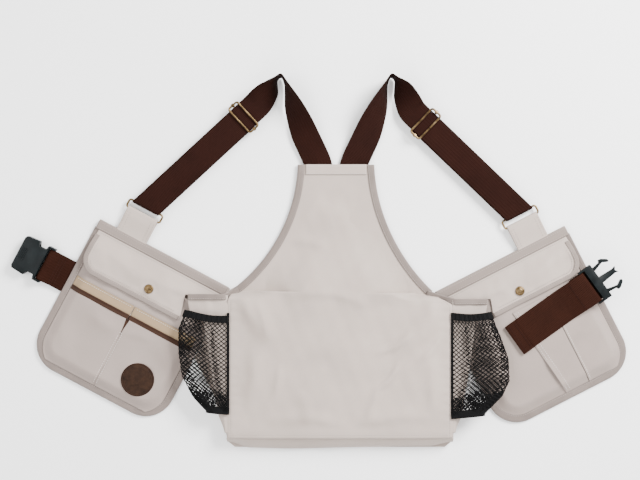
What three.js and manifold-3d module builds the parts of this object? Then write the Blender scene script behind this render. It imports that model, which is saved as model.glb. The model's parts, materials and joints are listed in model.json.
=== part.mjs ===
// A flat-laid field vest: a back panel with a bag, two front pockets, shoulder straps and a waist belt.
// Millimetres, +Z up. The origin is on the wearer's side of the back panel, at its middle.
import * as THREE from "three";
import { mergeVertices } from "three/addons/utils/BufferGeometryUtils.js";
import Module from "manifold-3d";

const wasm = await Module();
wasm.setup();

// Cloth, webbing and wire.
const CLOTH = 1.2;
const GAP = 0.3;
const STRAP_WIDTH = 40;
const STRAP_THICK = 1.6;
const BELT_WIDTH = 48;
const BELT_THICK = 1.3;
const WIRE_R = 1.5;

// Back panel and its bag.
const YOKE_HALF = 54;
const YOKE_TOP = 196;
const ARMHOLE_END = { left: { x: 151, y: 13 }, right: { x: 142, y: 9 } };
const ARMHOLE_STEPS = 10;
const YOKE_HEM = 14.5;
const BAG_HALF = 162;
const BAG_SHIFT = 5.5;
const BAG_BOTTOM = -197;
const BAG_MOUTH_Y = 3;
const BAG_DEPTH = 23;
const BAG_CROWN = 3;
const BOTTOM_REACH = 16;
const YOKE_GAP_Z = 3.6;
const BINDING_WIDTH = 9;
const BINDING_THICK = 0.9;

// Front panels: where each inner top corner lies, and how far the panel is turned.
const FRONTS = {
  left: { side: -1, x: -153.4, y: 15.8, turn: 28 },
  right: { side: 1, x: 141.2, y: 9, turn: 27.1 },
};
const FRONT_WIDTH = 214;
const FRONT_HEIGHT = 224;
const FRONT_CORNER = 42;
const SEAM_LENGTH = 112;
const TOP_BAND = 12.6;
const MOUTH_V = 44;
const POCKET_RISE = 9.5;
const FLANGE = 10.5;
const RAMP = 10;

// Flap, snap, tab and ring.
const FLAP_TOP_V = 13.1;
const FLAP_HEM_V = { left: 74, right: 69 };
const FLAP_Z = 12.2;
const FLAP_CORNER = 24;
const FLAP_INNER = {
  left: [[6, 13.1], [53, 36.5], [45, 66]],
  right: [[8, 13.1], [69, 43], [62, 66]],
};
const SNAP = { left: { u: 103, v: 54 }, right: { u: 112, v: 52 } };
const SNAP_R = 6.8;
const TAB_U = 162;
const TAB_WIDTH = 48;
const TAB_LENGTH = 36;
const RING_WIDTH = 12;
const RING_Z = 5.75;

// Shoulder straps: the slider's place, and the strap's way over the neck.
const SLIDERS = { left: { x: -133.4, y: YOKE_TOP + 67.9 }, right: { x: 129, y: YOKE_TOP + 58.5 } };
const STRAP_TOP_Z = 9.5;
const STRAP_RETURN_Z = 0.4;
const LOOP_LENGTH = 60;
const SLIDER_LENGTH = 17;
const SLIDER_HALF = 23;
const SLIDER_Z = 12.9;
const SLIDER_BAR_Z = 5.8;

// Waist belt and side-release buckle.
const BELT_V = 94;
const BUCKLE_HALF = 27;
const SOCKET_REACH = 37;
const SOCKET_LENGTH = 44;
const SOCKET_THICK = 12;
const PLUG = { u: FRONT_WIDTH - 14, v: 93, turn: 8.6 };
const PLUG_Z = 20.6;
const PLUG_THICK = 8;

const finish = {
  cloth: [0xc9c0b9, 0.9, 0],
  binding: [0xa99f96, 0.85, 0],
  webbing: [0x4a2a26, 0.8, 0],
  brass: [0x8a6f4a, 0.4, 1],
  plastic: [0x141414, 0.35, 0],
  mesh: [0x1d1c20, 0.7, 0],
  tan: [0xb59a72, 0.85, 0],
  brown: [0x5a3a2a, 0.85, 0],
  leather: [0x3a2018, 0.6, 0],
};

const vest = new THREE.Group();
const radians = (degrees) => (degrees * Math.PI) / 180;
const point = (x, y, z) => new THREE.Vector3(x, y, z);
const flat = (x, y) => new THREE.Vector2(x, y);
const mix = THREE.MathUtils.lerp;
const smooth = THREE.MathUtils.smoothstep;

function addMesh(parent, name, geometry, look) {
  const [color, roughness, metalness] = finish[look];
  const mesh = new THREE.Mesh(geometry, new THREE.MeshStandardMaterial({ color, roughness, metalness }));
  mesh.name = name;
  parent.add(mesh);
  return mesh;
}

// A closed body from points and triangles, turned so that its faces point out.
function body(points, faces) {
  let volume = 0;
  for (const [a, b, c] of faces) {
    volume += points[a].dot(points[b].clone().cross(points[c]));
  }
  const turned = volume < 0 ? faces.map(([a, b, c]) => [a, c, b]) : faces;
  const geometry = new THREE.BufferGeometry();
  geometry.setAttribute("position", new THREE.Float32BufferAttribute(points.flatMap((p) => p.toArray()), 3));
  geometry.setIndex(turned.flat());
  return geometry;
}

// Joins equal rings of points into a skin, capped at both ends or closed on itself.
function loft(rings, profile, closed = false) {
  const count = rings[0].length;
  const faces = [];
  const spans = closed ? rings.length : rings.length - 1;
  for (let i = 0; i < spans; i += 1) {
    const here = i * count;
    const next = ((i + 1) % rings.length) * count;
    for (let j = 0; j < count; j += 1) {
      const k = (j + 1) % count;
      faces.push([here + j, here + k, next + k]);
      faces.push([here + j, next + k, next + j]);
    }
  }
  if (!closed) {
    const last = (rings.length - 1) * count;
    const clockwise = THREE.ShapeUtils.isClockWise(profile);
    for (const [a, b, c] of THREE.ShapeUtils.triangulateShape(profile, [])) {
      const [p, q, r] = clockwise ? [a, b, c] : [a, c, b];
      faces.push([p, q, r]);
      faces.push([last + p, last + r, last + q]);
    }
  }
  return body(rings.flat(), faces);
}

// A cloth panel: a grid of points along its lower face, given its thickness upwards.
function sheet(columns, rows, place, thick = CLOTH) {
  const profile = [];
  for (let i = 0; i <= columns; i += 1) profile.push(flat(i, 0));
  for (let i = columns; i >= 0; i -= 1) profile.push(flat(i, 1));
  const rings = [];
  for (let j = 0; j <= rows; j += 1) {
    rings.push(profile.map((p) => {
      const at = place(p.x / columns, j / rows);
      at.z += p.y * thick;
      return at;
    }));
  }
  return loft(rings, profile);
}

// The outline of a line of points that is given a thickness, half to each side.
function thicken(line, thick) {
  const sides = [[], []];
  line.forEach((p, i) => {
    const before = p.clone().sub(line[Math.max(i - 1, 0)]);
    const after = line[Math.min(i + 1, line.length - 1)].clone().sub(p);
    const into = before.lengthSq() > 0 ? before.normalize() : after.clone().normalize();
    const out = after.lengthSq() > 0 ? after.normalize() : into;
    const along = into.clone().add(out).normalize();
    const reach = thick / 2 / Math.max(along.dot(into), 0.5);
    const normal = flat(-along.y, along.x).multiplyScalar(reach);
    sides[0].push(p.clone().add(normal));
    sides[1].unshift(p.clone().sub(normal));
  });
  return sides.flat();
}

function shapeOf(points) {
  return new THREE.Shape(points.map(([x, y]) => flat(x, y)));
}

function plate(shape, z, thick, segments = 6) {
  const geometry = new THREE.ExtrudeGeometry(shape, { depth: thick, bevelEnabled: false, curveSegments: segments });
  return geometry.translate(0, 0, z);
}

// A profile in x and z, carried across y from -half to half.
function across(shape, half) {
  const geometry = new THREE.ExtrudeGeometry(shape, { depth: 2 * half, bevelEnabled: false, curveSegments: 6 });
  return geometry.rotateX(Math.PI / 2).translate(0, half, 0);
}

function block(x0, x1, y0, y1, z0, z1) {
  const box = new THREE.BoxGeometry(Math.abs(x1 - x0), Math.abs(y1 - y0), Math.abs(z1 - z0));
  return box.translate((x0 + x1) / 2, (y0 + y1) / 2, (z0 + z1) / 2);
}

function rodY(radius, half, x, y, z) {
  return new THREE.CylinderGeometry(radius, radius, 2 * half, 8).translate(x, y, z);
}

// Booleans.
function solid(geometry) {
  const bare = geometry.clone();
  bare.deleteAttribute("normal");
  bare.deleteAttribute("uv");
  const merged = mergeVertices(bare, 1e-4);
  const vertProperties = new Float32Array(merged.attributes.position.array);
  const triVerts = new Uint32Array(merged.index.array);
  return new wasm.Manifold(new wasm.Mesh({ numProp: 3, vertProperties, triVerts }));
}

function geometryOf(manifold) {
  const mesh = manifold.getMesh();
  const geometry = new THREE.BufferGeometry();
  geometry.setAttribute("position", new THREE.Float32BufferAttribute(mesh.vertProperties, 3));
  geometry.setIndex(new THREE.Uint32BufferAttribute(mesh.triVerts, 1));
  return geometry;
}

function join(...geometries) {
  return geometryOf(geometries.map(solid).reduce((whole, next) => whole.add(next)));
}

function cut(geometry, ...tools) {
  return geometryOf(tools.map(solid).reduce((whole, tool) => whole.subtract(tool), solid(geometry)));
}

// A closed loop of round wire along a rectangle with rounded corners, level at z.
function wireLoop(halfX, halfY, z, corner = 3) {
  const outline = new THREE.Shape();
  outline.absarc(halfX - corner, halfY - corner, corner, 0, Math.PI / 2);
  outline.absarc(corner - halfX, halfY - corner, corner, Math.PI / 2, Math.PI);
  outline.absarc(corner - halfX, corner - halfY, corner, Math.PI, 1.5 * Math.PI);
  outline.absarc(halfX - corner, corner - halfY, corner, 1.5 * Math.PI, 2 * Math.PI);
  const centre = outline.getPoints(3).filter((p, i, all) => i === 0 || p.distanceTo(all[i - 1]) > 1e-3);
  if (centre[0].distanceTo(centre[centre.length - 1]) < 1e-3) centre.pop();
  const rings = centre.map((p, i) => {
    const before = centre[(i + centre.length - 1) % centre.length];
    const after = centre[(i + 1) % centre.length];
    const along = after.clone().sub(before).normalize();
    return Array.from({ length: 8 }, (_, k) => {
      const angle = (k * Math.PI) / 4;
      const reach = WIRE_R * Math.cos(angle);
      return point(p.x + along.y * reach, p.y - along.x * reach, z + WIRE_R * Math.sin(angle));
    });
  });
  return loft(rings, [], true);
}

// ---- Back panel ----

function armholeCurve({ x, y }) {
  return new THREE.CubicBezierCurve(
    flat(YOKE_HALF, YOKE_TOP),
    flat(YOKE_HALF + 3, YOKE_TOP - 86),
    flat(YOKE_HALF + 50, y + 34),
    flat(x, y),
  );
}

const armholes = { left: armholeCurve(ARMHOLE_END.left), right: armholeCurve(ARMHOLE_END.right) };
const bagEdge = (side) => side * BAG_HALF + BAG_SHIFT;

// The point at v down the seam between a front panel and the back, on the back's side of it.
function seamPoint(front, v) {
  const turn = radians(front.turn);
  const inset = 2 * GAP;
  return [
    front.x + front.side * (v * Math.sin(turn) - inset * Math.cos(turn)),
    front.y - v * Math.cos(turn) - inset * Math.sin(turn),
  ];
}

function seamX(front, y) {
  return front.x + front.side * (front.y - y) * Math.tan(radians(front.turn));
}

function backInnerPanel() {
  const half = (name) => {
    const front = FRONTS[name];
    const edge = armholes[name].getPoints(ARMHOLE_STEPS).slice(0, -1).map((p) => [front.side * p.x, p.y]);
    return [
      ...edge,
      seamPoint(front, 0),
      seamPoint(front, SEAM_LENGTH),
      [bagEdge(front.side) + front.side * 14, -150],
      [bagEdge(front.side), BAG_BOTTOM - BOTTOM_REACH + 8],
      [bagEdge(front.side) - front.side * 10, BAG_BOTTOM - BOTTOM_REACH],
    ];
  };
  return plate(shapeOf([...half("left"), ...half("right").reverse()]), 0, CLOTH);
}

// The outer panel's edge on one side, down the armhole and then down the bag.
function outerEdge(name, t) {
  const { side } = FRONTS[name];
  const end = ARMHOLE_END[name];
  const at = armholes[name].getPoint(Math.min(t * 2, 1));
  if (t < 0.5) return flat(side * at.x, at.y);
  const y = mix(end.y, BAG_BOTTOM, (t * 2 - 1) ** 1.3);
  return flat(mix(side * end.x, bagEdge(side), smooth(end.y - y, 0, 18)), y);
}

function outerPanelPoint(s, t) {
  const left = outerEdge("left", t);
  const right = outerEdge("right", t);
  const { x, y } = left.clone().lerp(right, s);
  const slope = (name) => (t <= 0.5 ? Math.abs(armholes[name].getTangent(t * 2).y) : 1);
  const inward = Math.min((x - left.x) * slope("left"), (right.x - x) * slope("right"));
  const end = mix(ARMHOLE_END.left.y, ARMHOLE_END.right.y, s);
  const rim = YOKE_GAP_Z + BAG_DEPTH * 0.88 * (1 - smooth(y, BAG_MOUTH_Y, end));
  const crown = YOKE_GAP_Z + (BAG_DEPTH + BAG_CROWN - YOKE_GAP_Z) * (1 - smooth(y, 0, 105));
  const rise = smooth(inward, BINDING_WIDTH + 8, BINDING_WIDTH + 55);
  return point(x, y, mix(rim, Math.max(crown, rim), rise));
}

function armholeBinding(name) {
  const { side } = FRONTS[name];
  const profile = thicken(
    [flat(-BINDING_WIDTH, 0), flat(GAP + BINDING_THICK / 2, 0), flat(GAP + BINDING_THICK / 2, -5.2)],
    BINDING_THICK,
  );
  const top = YOKE_GAP_Z + CLOTH + GAP + BINDING_THICK / 2;
  const stations = Array.from({ length: ARMHOLE_STEPS }, (_, i) => i / ARMHOLE_STEPS);
  const rings = stations.map((t) => {
    const at = armholes[name].getPoint(t);
    const along = armholes[name].getTangent(t);
    return profile.map((p) => point(side * (at.x - along.y * p.x), at.y + along.x * p.x, top + p.y));
  });
  return loft(rings, profile);
}

// A value read along a list of [y, value] pairs that runs down the bag's side.
function along(stops, y) {
  const next = stops.findIndex(([at]) => at <= y);
  if (next === 0) return stops[0][1];
  if (next < 0) return stops[stops.length - 1][1];
  const [y0, v0] = stops[next - 1];
  const [y1, v1] = stops[next];
  return mix(v0, v1, (y0 - y) / (y0 - y1));
}

// How far the gusset's crease and the mesh pocket stand out from the bag's edge, down its length.
const CREASE = {
  left: [[3, 57], [-16, 57], [-24, 34], [-150, 16], [-190, 8]],
  right: [[-3, 51], [-20, 51], [-28, 34], [-150, 16], [-190, 8]],
};
const MESH_REACH = {
  left: [[-17, 60], [-45, 71], [-80, 71], [-112, 66], [-141, 50], [-160, 30]],
  right: [[-17, 54], [-52, 69], [-85, 81], [-118, 83], [-140, 72], [-166, 46]],
};
const GUSSET_Z = 16.3;
const MESH_TOP = 30;
const ELASTIC_WIDTH = 8;

function runDown(side, from, to, steps, line, thick) {
  const profile = thicken(line(from), thick);
  const rings = Array.from({ length: steps + 1 }, (_, i) => {
    const y = mix(from, to, i / steps);
    return thicken(line(y), thick).map((p) => point(bagEdge(side) + side * p.x, y, p.y));
  });
  return loft(rings, profile);
}

function sideGusset(name) {
  const front = FRONTS[name];
  const start = CREASE[name][0][0];
  const rim = YOKE_GAP_Z + BAG_DEPTH * 0.88;
  const line = (y) => {
    const crease = along(CREASE[name], y);
    const seam = front.side * (seamX(front, y) - bagEdge(front.side)) - 2.5;
    const foot = Math.min(seam, crease - 5);
    return [
      flat(0.5, rim - 2),
      flat(crease, GUSSET_Z + 1.8),
      flat(crease, GUSSET_Z),
      flat(foot, GUSSET_Z - 0.4),
      flat(foot, CLOTH + GAP),
    ];
  };
  return runDown(front.side, start, BAG_BOTTOM + 8, 10, line, CLOTH * 0.8);
}

function meshLine(name, low) {
  return (y) => {
    const reach = along(MESH_REACH[name], y);
    const crease = along(CREASE[name], y);
    const rim = YOKE_GAP_Z + BAG_DEPTH * 0.88 + CLOTH + GAP + 0.8;
    const upper = [flat(-5, rim), flat(4, rim + 0.6), flat(reach - 10, MESH_TOP), flat(reach, MESH_TOP - 6)];
    const lower = [flat(reach - 1, GUSSET_Z + 5.5), flat(Math.min(crease + 2, reach - 3), GUSSET_Z + 4.1)];
    return low ? [...upper, ...lower] : upper;
  };
}

function addBack() {
  addMesh(vest, "back_inner_panel", backInnerPanel(), "cloth");
  addMesh(vest, "back_outer_panel", sheet(12, 20, outerPanelPoint), "cloth");
  const rim = YOKE_GAP_Z + BAG_DEPTH * 0.88;
  const bottom = (s, t) => point(
    mix(bagEdge(-1) + 6, bagEdge(1) - 6, s),
    mix(BAG_BOTTOM - 2 * GAP, BAG_BOTTOM - BOTTOM_REACH + 1, t),
    mix(rim, CLOTH + GAP, t),
  );
  addMesh(vest, "bottom_gusset", sheet(6, 3, bottom), "cloth");
  const hemZ = YOKE_GAP_Z + CLOTH + GAP;
  const hemHalf = YOKE_HALF - BINDING_WIDTH - 2 * GAP;
  addMesh(vest, "yoke_hem_band", block(-hemHalf, hemHalf, YOKE_TOP - YOKE_HEM, YOKE_TOP, hemZ, hemZ + 0.9), "cloth");
  for (const [name, front] of Object.entries(FRONTS)) {
    const { side } = front;
    const mouth = MESH_REACH[name][0][0];
    const end = MESH_REACH[name][MESH_REACH[name].length - 1][0];
    addMesh(vest, `${name}_armhole_binding`, armholeBinding(name), "binding");
    addMesh(vest, `${name}_side_gusset`, sideGusset(name), "cloth");
    const elastic = runDown(side, mouth, mouth - ELASTIC_WIDTH, 2, meshLine(name, false), 1.6);
    addMesh(vest, `${name}_mesh_elastic`, elastic, "mesh");
    const bag = runDown(side, mouth - ELASTIC_WIDTH - GAP, end, 8, meshLine(name, true), 1);
    addMesh(vest, `${name}_mesh_pocket`, bag, "mesh");
  }
}

// ---- Shoulder straps ----

// The strap's straight run: from its slider to its ring, in the vest's own frame.
function strapRun(name) {
  const front = FRONTS[name];
  const turn = radians(front.turn) * front.side;
  const ring = flat(front.side * TAB_U, TAB_LENGTH + RING_WIDTH).rotateAround(flat(0, 0), turn);
  ring.add(flat(front.x, front.y));
  const start = flat(SLIDERS[name].x, SLIDERS[name].y);
  const run = ring.clone().sub(start);
  const length = run.length();
  const dir = run.normalize();
  const bar = flat(1, 0).rotateAround(flat(0, 0), turn);
  const perp = flat(-dir.y, dir.x);
  const skew = bar.dot(dir) / bar.dot(perp);
  return { start, ring, dir, perp, length, skew, angle: Math.atan2(dir.y, dir.x) };
}

function ribbon(stations, thick) {
  const profile = [flat(0, 0), flat(1, 0), flat(1, 1), flat(0, 1)];
  const rings = stations.map(({ at, edge }, i) => {
    const before = stations[Math.max(i - 1, 0)].at;
    const after = stations[Math.min(i + 1, stations.length - 1)].at;
    const up = edge.clone().cross(after.clone().sub(before)).normalize().multiplyScalar(thick / 2);
    return [[-1, -1], [1, -1], [1, 1], [-1, 1]].map(([a, b]) => at.clone().addScaledVector(edge, a).addScaledVector(up, b));
  });
  return loft(rings, profile);
}

// The strap leaves the yoke flat, stands on its edge where it turns at the neck, and lies flat again.
function shoulderWebbing(name) {
  const { side } = FRONTS[name];
  const run = strapRun(name);
  const level = STRAP_TOP_Z + STRAP_THICK / 2;
  const toward = (distance, z) => point(run.start.x + run.dir.x * distance, run.start.y + run.dir.y * distance, z);
  const route = [
    [point(side * 21, YOKE_TOP - 20, 2.4), 0],
    [point(side * 27, YOKE_TOP + 5, 2.4), 0],
    [point(side * 45, YOKE_TOP + 43, 8), 12],
    [point(side * 62, YOKE_TOP + 85, 18), 50],
    [point(side * 72.5, YOKE_TOP + 116, 20.8), 85],
    [point(side * 78.5, YOKE_TOP + 129, 20.8), 90],
    [point(side * 85.5, YOKE_TOP + 122.5, 20.8), 90],
    [point(side * 95, YOKE_TOP + 107, 17), 50],
    [toward(-27, level + 0.6), 6],
    [toward(-16, level), 0],
    [toward(run.length / 3, level), 0],
    [toward(run.length - LOOP_LENGTH - GAP, level), 0],
  ];
  const path = new THREE.CatmullRomCurve3(route.map(([at]) => at), false, "centripetal");
  const steps = 3;
  const spans = route.length - 1;
  const stations = [];
  for (let i = 0; i <= spans * steps; i += 1) {
    const t = i / (spans * steps);
    const k = Math.min(Math.floor(i / steps), spans - 1);
    const roll = radians(mix(route[k][1], route[k + 1][1], i / steps - k));
    const tangent = path.getTangent(t);
    const level2 = flat(tangent.y, -tangent.x).normalize();
    const edge = point(level2.x * Math.cos(roll), level2.y * Math.cos(roll), side * -Math.sin(roll));
    edge.multiplyScalar(STRAP_WIDTH / 2);
    if (i === spans * steps) edge.addScaledVector(point(run.dir.x, run.dir.y, 0), (-run.skew * STRAP_WIDTH) / 2);
    stations.push({ at: path.getPoint(t), edge });
  }
  return ribbon(stations, STRAP_THICK);
}

function strapReturn(name) {
  const run = strapRun(name);
  const edge = point(-run.perp.x, -run.perp.y, 0).multiplyScalar(STRAP_WIDTH / 2);
  const slant = edge.clone().addScaledVector(point(run.dir.x, run.dir.y, 0), (-run.skew * STRAP_WIDTH) / 2);
  const z = STRAP_RETURN_Z + STRAP_THICK / 2;
  const toward = (distance) => point(run.start.x + run.dir.x * distance, run.start.y + run.dir.y * distance, z);
  return ribbon([
    { at: toward(-10), edge },
    { at: toward(run.length - LOOP_LENGTH - GAP), edge: slant },
  ], STRAP_THICK);
}

// The end of the strap's run, folded round the ring's outer bar. It is skewed to lie along that bar.
function strapLoop(name) {
  const run = strapRun(name);
  const low = STRAP_RETURN_Z + STRAP_THICK / 2;
  const high = STRAP_TOP_Z + STRAP_THICK / 2;
  const radius = (high - low) / 2;
  const centre = WIRE_R + GAP + STRAP_THICK / 2 - radius;
  const turn = Array.from({ length: 9 }, (_, i) => {
    const angle = Math.PI / 2 - (i * Math.PI) / 8;
    return flat(centre + radius * Math.cos(angle), low + radius + radius * Math.sin(angle));
  });
  const line = [flat(-LOOP_LENGTH, high), ...turn, flat(-LOOP_LENGTH, low)];
  const loop = across(new THREE.Shape(thicken(line, STRAP_THICK)), STRAP_WIDTH / 2);
  const shear = new THREE.Matrix4().makeShear(0, 0, run.skew, 0, 0, 0);
  loop.applyMatrix4(shear);
  return loop.rotateZ(run.angle).translate(run.ring.x, run.ring.y, 0);
}

function addSlider(name) {
  const run = strapRun(name);
  const slider = new THREE.Group();
  slider.position.set(run.start.x, run.start.y, 0);
  slider.rotation.z = run.angle;
  vest.add(slider);
  addMesh(slider, `${name}_slider_frame`, wireLoop(SLIDER_LENGTH / 2, SLIDER_HALF, SLIDER_Z, 3), "brass");
  const eyeHole = (y) => new THREE.CylinderGeometry(WIRE_R + GAP, WIRE_R + GAP, 12, 8).rotateZ(Math.PI / 2)
    .translate(0, y, SLIDER_Z);
  const eye = (y) => new THREE.CylinderGeometry(2.7, 2.7, 4, 8).rotateZ(Math.PI / 2).translate(0, y, SLIDER_Z);
  const post = (y) => block(-WIRE_R * 0.8, WIRE_R * 0.8, y - 1, y + 1, SLIDER_BAR_Z, SLIDER_Z - 2.2);
  const rod = rodY(WIRE_R, SLIDER_HALF, 0, 0, SLIDER_BAR_Z);
  const bar = join(rod, post(SLIDER_HALF), post(-SLIDER_HALF), eye(SLIDER_HALF), eye(-SLIDER_HALF));
  const drilled = cut(bar, eyeHole(SLIDER_HALF), eyeHole(-SLIDER_HALF));
  addMesh(slider, `${name}_slider_bar`, drilled, "brass");
  addMesh(slider, `${name}_strap_end`, strapEnd(), "webbing");
}

// The sewn end of the strap: a loop round the slider's bar, closed by its stitching.
function strapEnd() {
  const outer = 3.4;
  const inner = 1.9;
  const loop = new THREE.Shape();
  loop.moveTo(14, SLIDER_BAR_Z - outer);
  loop.lineTo(14, SLIDER_BAR_Z + outer);
  loop.absarc(0, SLIDER_BAR_Z, outer, Math.PI / 2, 1.5 * Math.PI);
  const eye = new THREE.Path();
  eye.moveTo(9, SLIDER_BAR_Z - inner);
  eye.lineTo(9, SLIDER_BAR_Z + inner);
  eye.absarc(0, SLIDER_BAR_Z, inner, Math.PI / 2, 1.5 * Math.PI);
  loop.holes.push(eye);
  return across(loop, STRAP_WIDTH / 2 - 1);
}

// ---- Front panels ----

function frontOutline(side, inset = 0, top = 0) {
  const far = FRONT_WIDTH - inset;
  const low = FRONT_HEIGHT - inset;
  const r = FRONT_CORNER - inset * 0.6;
  const shape = new THREE.Shape();
  shape.moveTo(inset, -top);
  shape.lineTo(inset, -(low - r));
  shape.absarc(inset + r, -(low - r), r, Math.PI, 1.5 * Math.PI);
  shape.absarc(far - r, -(low - r), r, -Math.PI / 2, 0);
  shape.lineTo(far, -top);
  const points = shape.getPoints(5).filter((p, i, all) => i === 0 || p.distanceTo(all[i - 1]) > 0.01);
  return points.map((p) => flat(side * p.x, p.y));
}

// A body that narrows from one outline at its foot to another, of as many points, at its top.
function taper(low, z0, high, z1) {
  const ring = (outline, z) => outline.map((p) => point(p.x, p.y, z));
  return loft([ring(low, z0), ring(high, z1)], low);
}

function pocketPanel(side, slot) {
  const foot = CLOTH + GAP;
  const mouth = MOUTH_V;
  const flange = plate(new THREE.Shape(frontOutline(side, GAP, mouth)), foot, CLOTH);
  const top = foot + POCKET_RISE;
  const dome = taper(frontOutline(side, FLANGE, mouth), foot, frontOutline(side, FLANGE + RAMP, mouth), top);
  const hollow = taper(
    frontOutline(side, FLANGE + 1.6, mouth - 1),
    foot - 0.1,
    frontOutline(side, FLANGE + RAMP + 0.8, mouth - 1),
    top - CLOTH,
  );
  return cut(join(flange, dome), hollow, slot);
}

function edgeBinding(side, slot) {
  const centre = frontOutline(side, 0, TOP_BAND + 2);
  const wanted = centre.filter((p) => !(side * p.x < 1 && p.y > -SEAM_LENGTH - 6));
  wanted.unshift(flat(0, -SEAM_LENGTH - 8));
  const profile = thicken(
    [flat(-BINDING_WIDTH, 0), flat(GAP + BINDING_THICK / 2, 0), flat(GAP + BINDING_THICK / 2, -3.2)],
    BINDING_THICK,
  );
  const top = 2 * CLOTH + 2 * GAP + BINDING_THICK / 2;
  const rings = wanted.map((p, i) => {
    const into = p.clone().sub(wanted[Math.max(i - 1, 0)]);
    const out = wanted[Math.min(i + 1, wanted.length - 1)].clone().sub(p);
    const heading = (into.lengthSq() ? into.normalize() : flat(0, 0)).add(out.normalize()).normalize();
    const outward = flat(side * heading.y, -side * heading.x);
    return profile.map((q) => point(p.x + outward.x * q.x, p.y + outward.y * q.x, top + q.y));
  });
  return cut(loft(rings, profile), slot);
}

function flapHeight(v) {
  return mix(4.6, FLAP_Z, smooth(v, FLAP_TOP_V, FLAP_TOP_V + 26));
}

// The flap's edges at v: the inner one steps round the bag's gusset, the outer one has a round corner.
function flapSpan(name, v) {
  const [top, knee, foot] = FLAP_INNER[name];
  const hem = FLAP_HEM_V[name];
  const inner = v < knee[1]
    ? mix(top[0], knee[0], (v - top[1]) / (knee[1] - top[1]))
    : mix(knee[0], foot[0], Math.min((v - knee[1]) / (foot[1] - knee[1]), 1));
  const depth = Math.max(v - (hem - FLAP_CORNER), 0);
  const round = FLAP_CORNER - Math.sqrt(Math.max(FLAP_CORNER ** 2 - depth ** 2, 0));
  return [inner, FRONT_WIDTH - 5 - round];
}

function flapRows(name) {
  const knee = FLAP_INNER[name][1][1];
  const end = FLAP_HEM_V[name] - 1.6;
  const rest = [-24, -18, -12, -6.5, -2.5].map((step) => end + step);
  return [FLAP_TOP_V + GAP, 20, 27, knee, ...rest, end].sort((a, b) => a - b);
}

function flapSheet(name) {
  const { side } = FRONTS[name];
  const rows = flapRows(name);
  const place = (s, t) => {
    const v = rows[Math.round(t * (rows.length - 1))];
    const [inner, outer] = flapSpan(name, v);
    return point(side * mix(inner, outer, s), -v, flapHeight(v));
  };
  return sheet(3, rows.length - 1, place);
}

// The hem tape below the flap's lower edge and up its outer side.
function flapBinding(name) {
  const { side } = FRONTS[name];
  const hem = FLAP_HEM_V[name] - 1.6;
  const rows = flapRows(name).filter((v) => v > hem - FLAP_CORNER);
  const outer = rows.map((v) => flat(flapSpan(name, v)[1], -v));
  const edge = [...outer, flat(SNAP[name].u, -hem), flat(flapSpan(name, hem)[0], -hem)];
  const profile = thicken(
    [flat(-7, 0), flat(GAP + BINDING_THICK / 2, 0), flat(GAP + BINDING_THICK / 2, -2.6)],
    BINDING_THICK,
  );
  const top = FLAP_Z + CLOTH + GAP + BINDING_THICK / 2;
  const rings = edge.map((p, i) => {
    const heading = edge[Math.min(i + 1, edge.length - 1)].clone().sub(edge[Math.max(i - 1, 0)]).normalize();
    const outward = flat(-heading.y, heading.x);
    return profile.map((q) => point(side * (p.x + outward.x * q.x), p.y + outward.y * q.x, top + q.y));
  });
  return loft(rings, profile);
}

function lathe(points, segments = 12) {
  return new THREE.LatheGeometry(points.map(([x, y]) => flat(x, y)), segments).rotateX(Math.PI / 2);
}

function addFlap(front, group, name) {
  const { side } = front;
  const top = FLAP_Z + CLOTH;
  addMesh(group, `${name}_flap`, flapSheet(name), "cloth");
  addMesh(group, `${name}_flap_binding`, flapBinding(name), "binding");
  const { u, v } = SNAP[name];
  const cap = lathe([[0, 0], [SNAP_R, 0], [SNAP_R, 1], [SNAP_R * 0.75, 1.9], [0, 2.2]]);
  addMesh(group, `${name}_snap_cap`, cap.translate(side * u, -v, top + GAP), "brass");
}

function tab(side) {
  const ringV = TAB_LENGTH;
  const radius = WIRE_R + GAP + CLOTH / 2 + 0.1;
  const loop = Array.from({ length: 7 }, (_, i) => {
    const angle = Math.PI / 2 - (i * Math.PI) / 6;
    return flat(ringV + radius * Math.cos(angle), RING_Z + radius * Math.sin(angle));
  });
  const low = CLOTH + GAP + CLOTH / 2;
  const line = [flat(-9, low + 1.5), flat(2, low + 1.6), ...loop, flat(2, low), flat(-9, low)];
  const shape = new THREE.Shape(thicken(line, CLOTH));
  return across(shape, TAB_WIDTH / 2).rotateZ(Math.PI / 2).translate(side * TAB_U, 0, 0);
}

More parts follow.
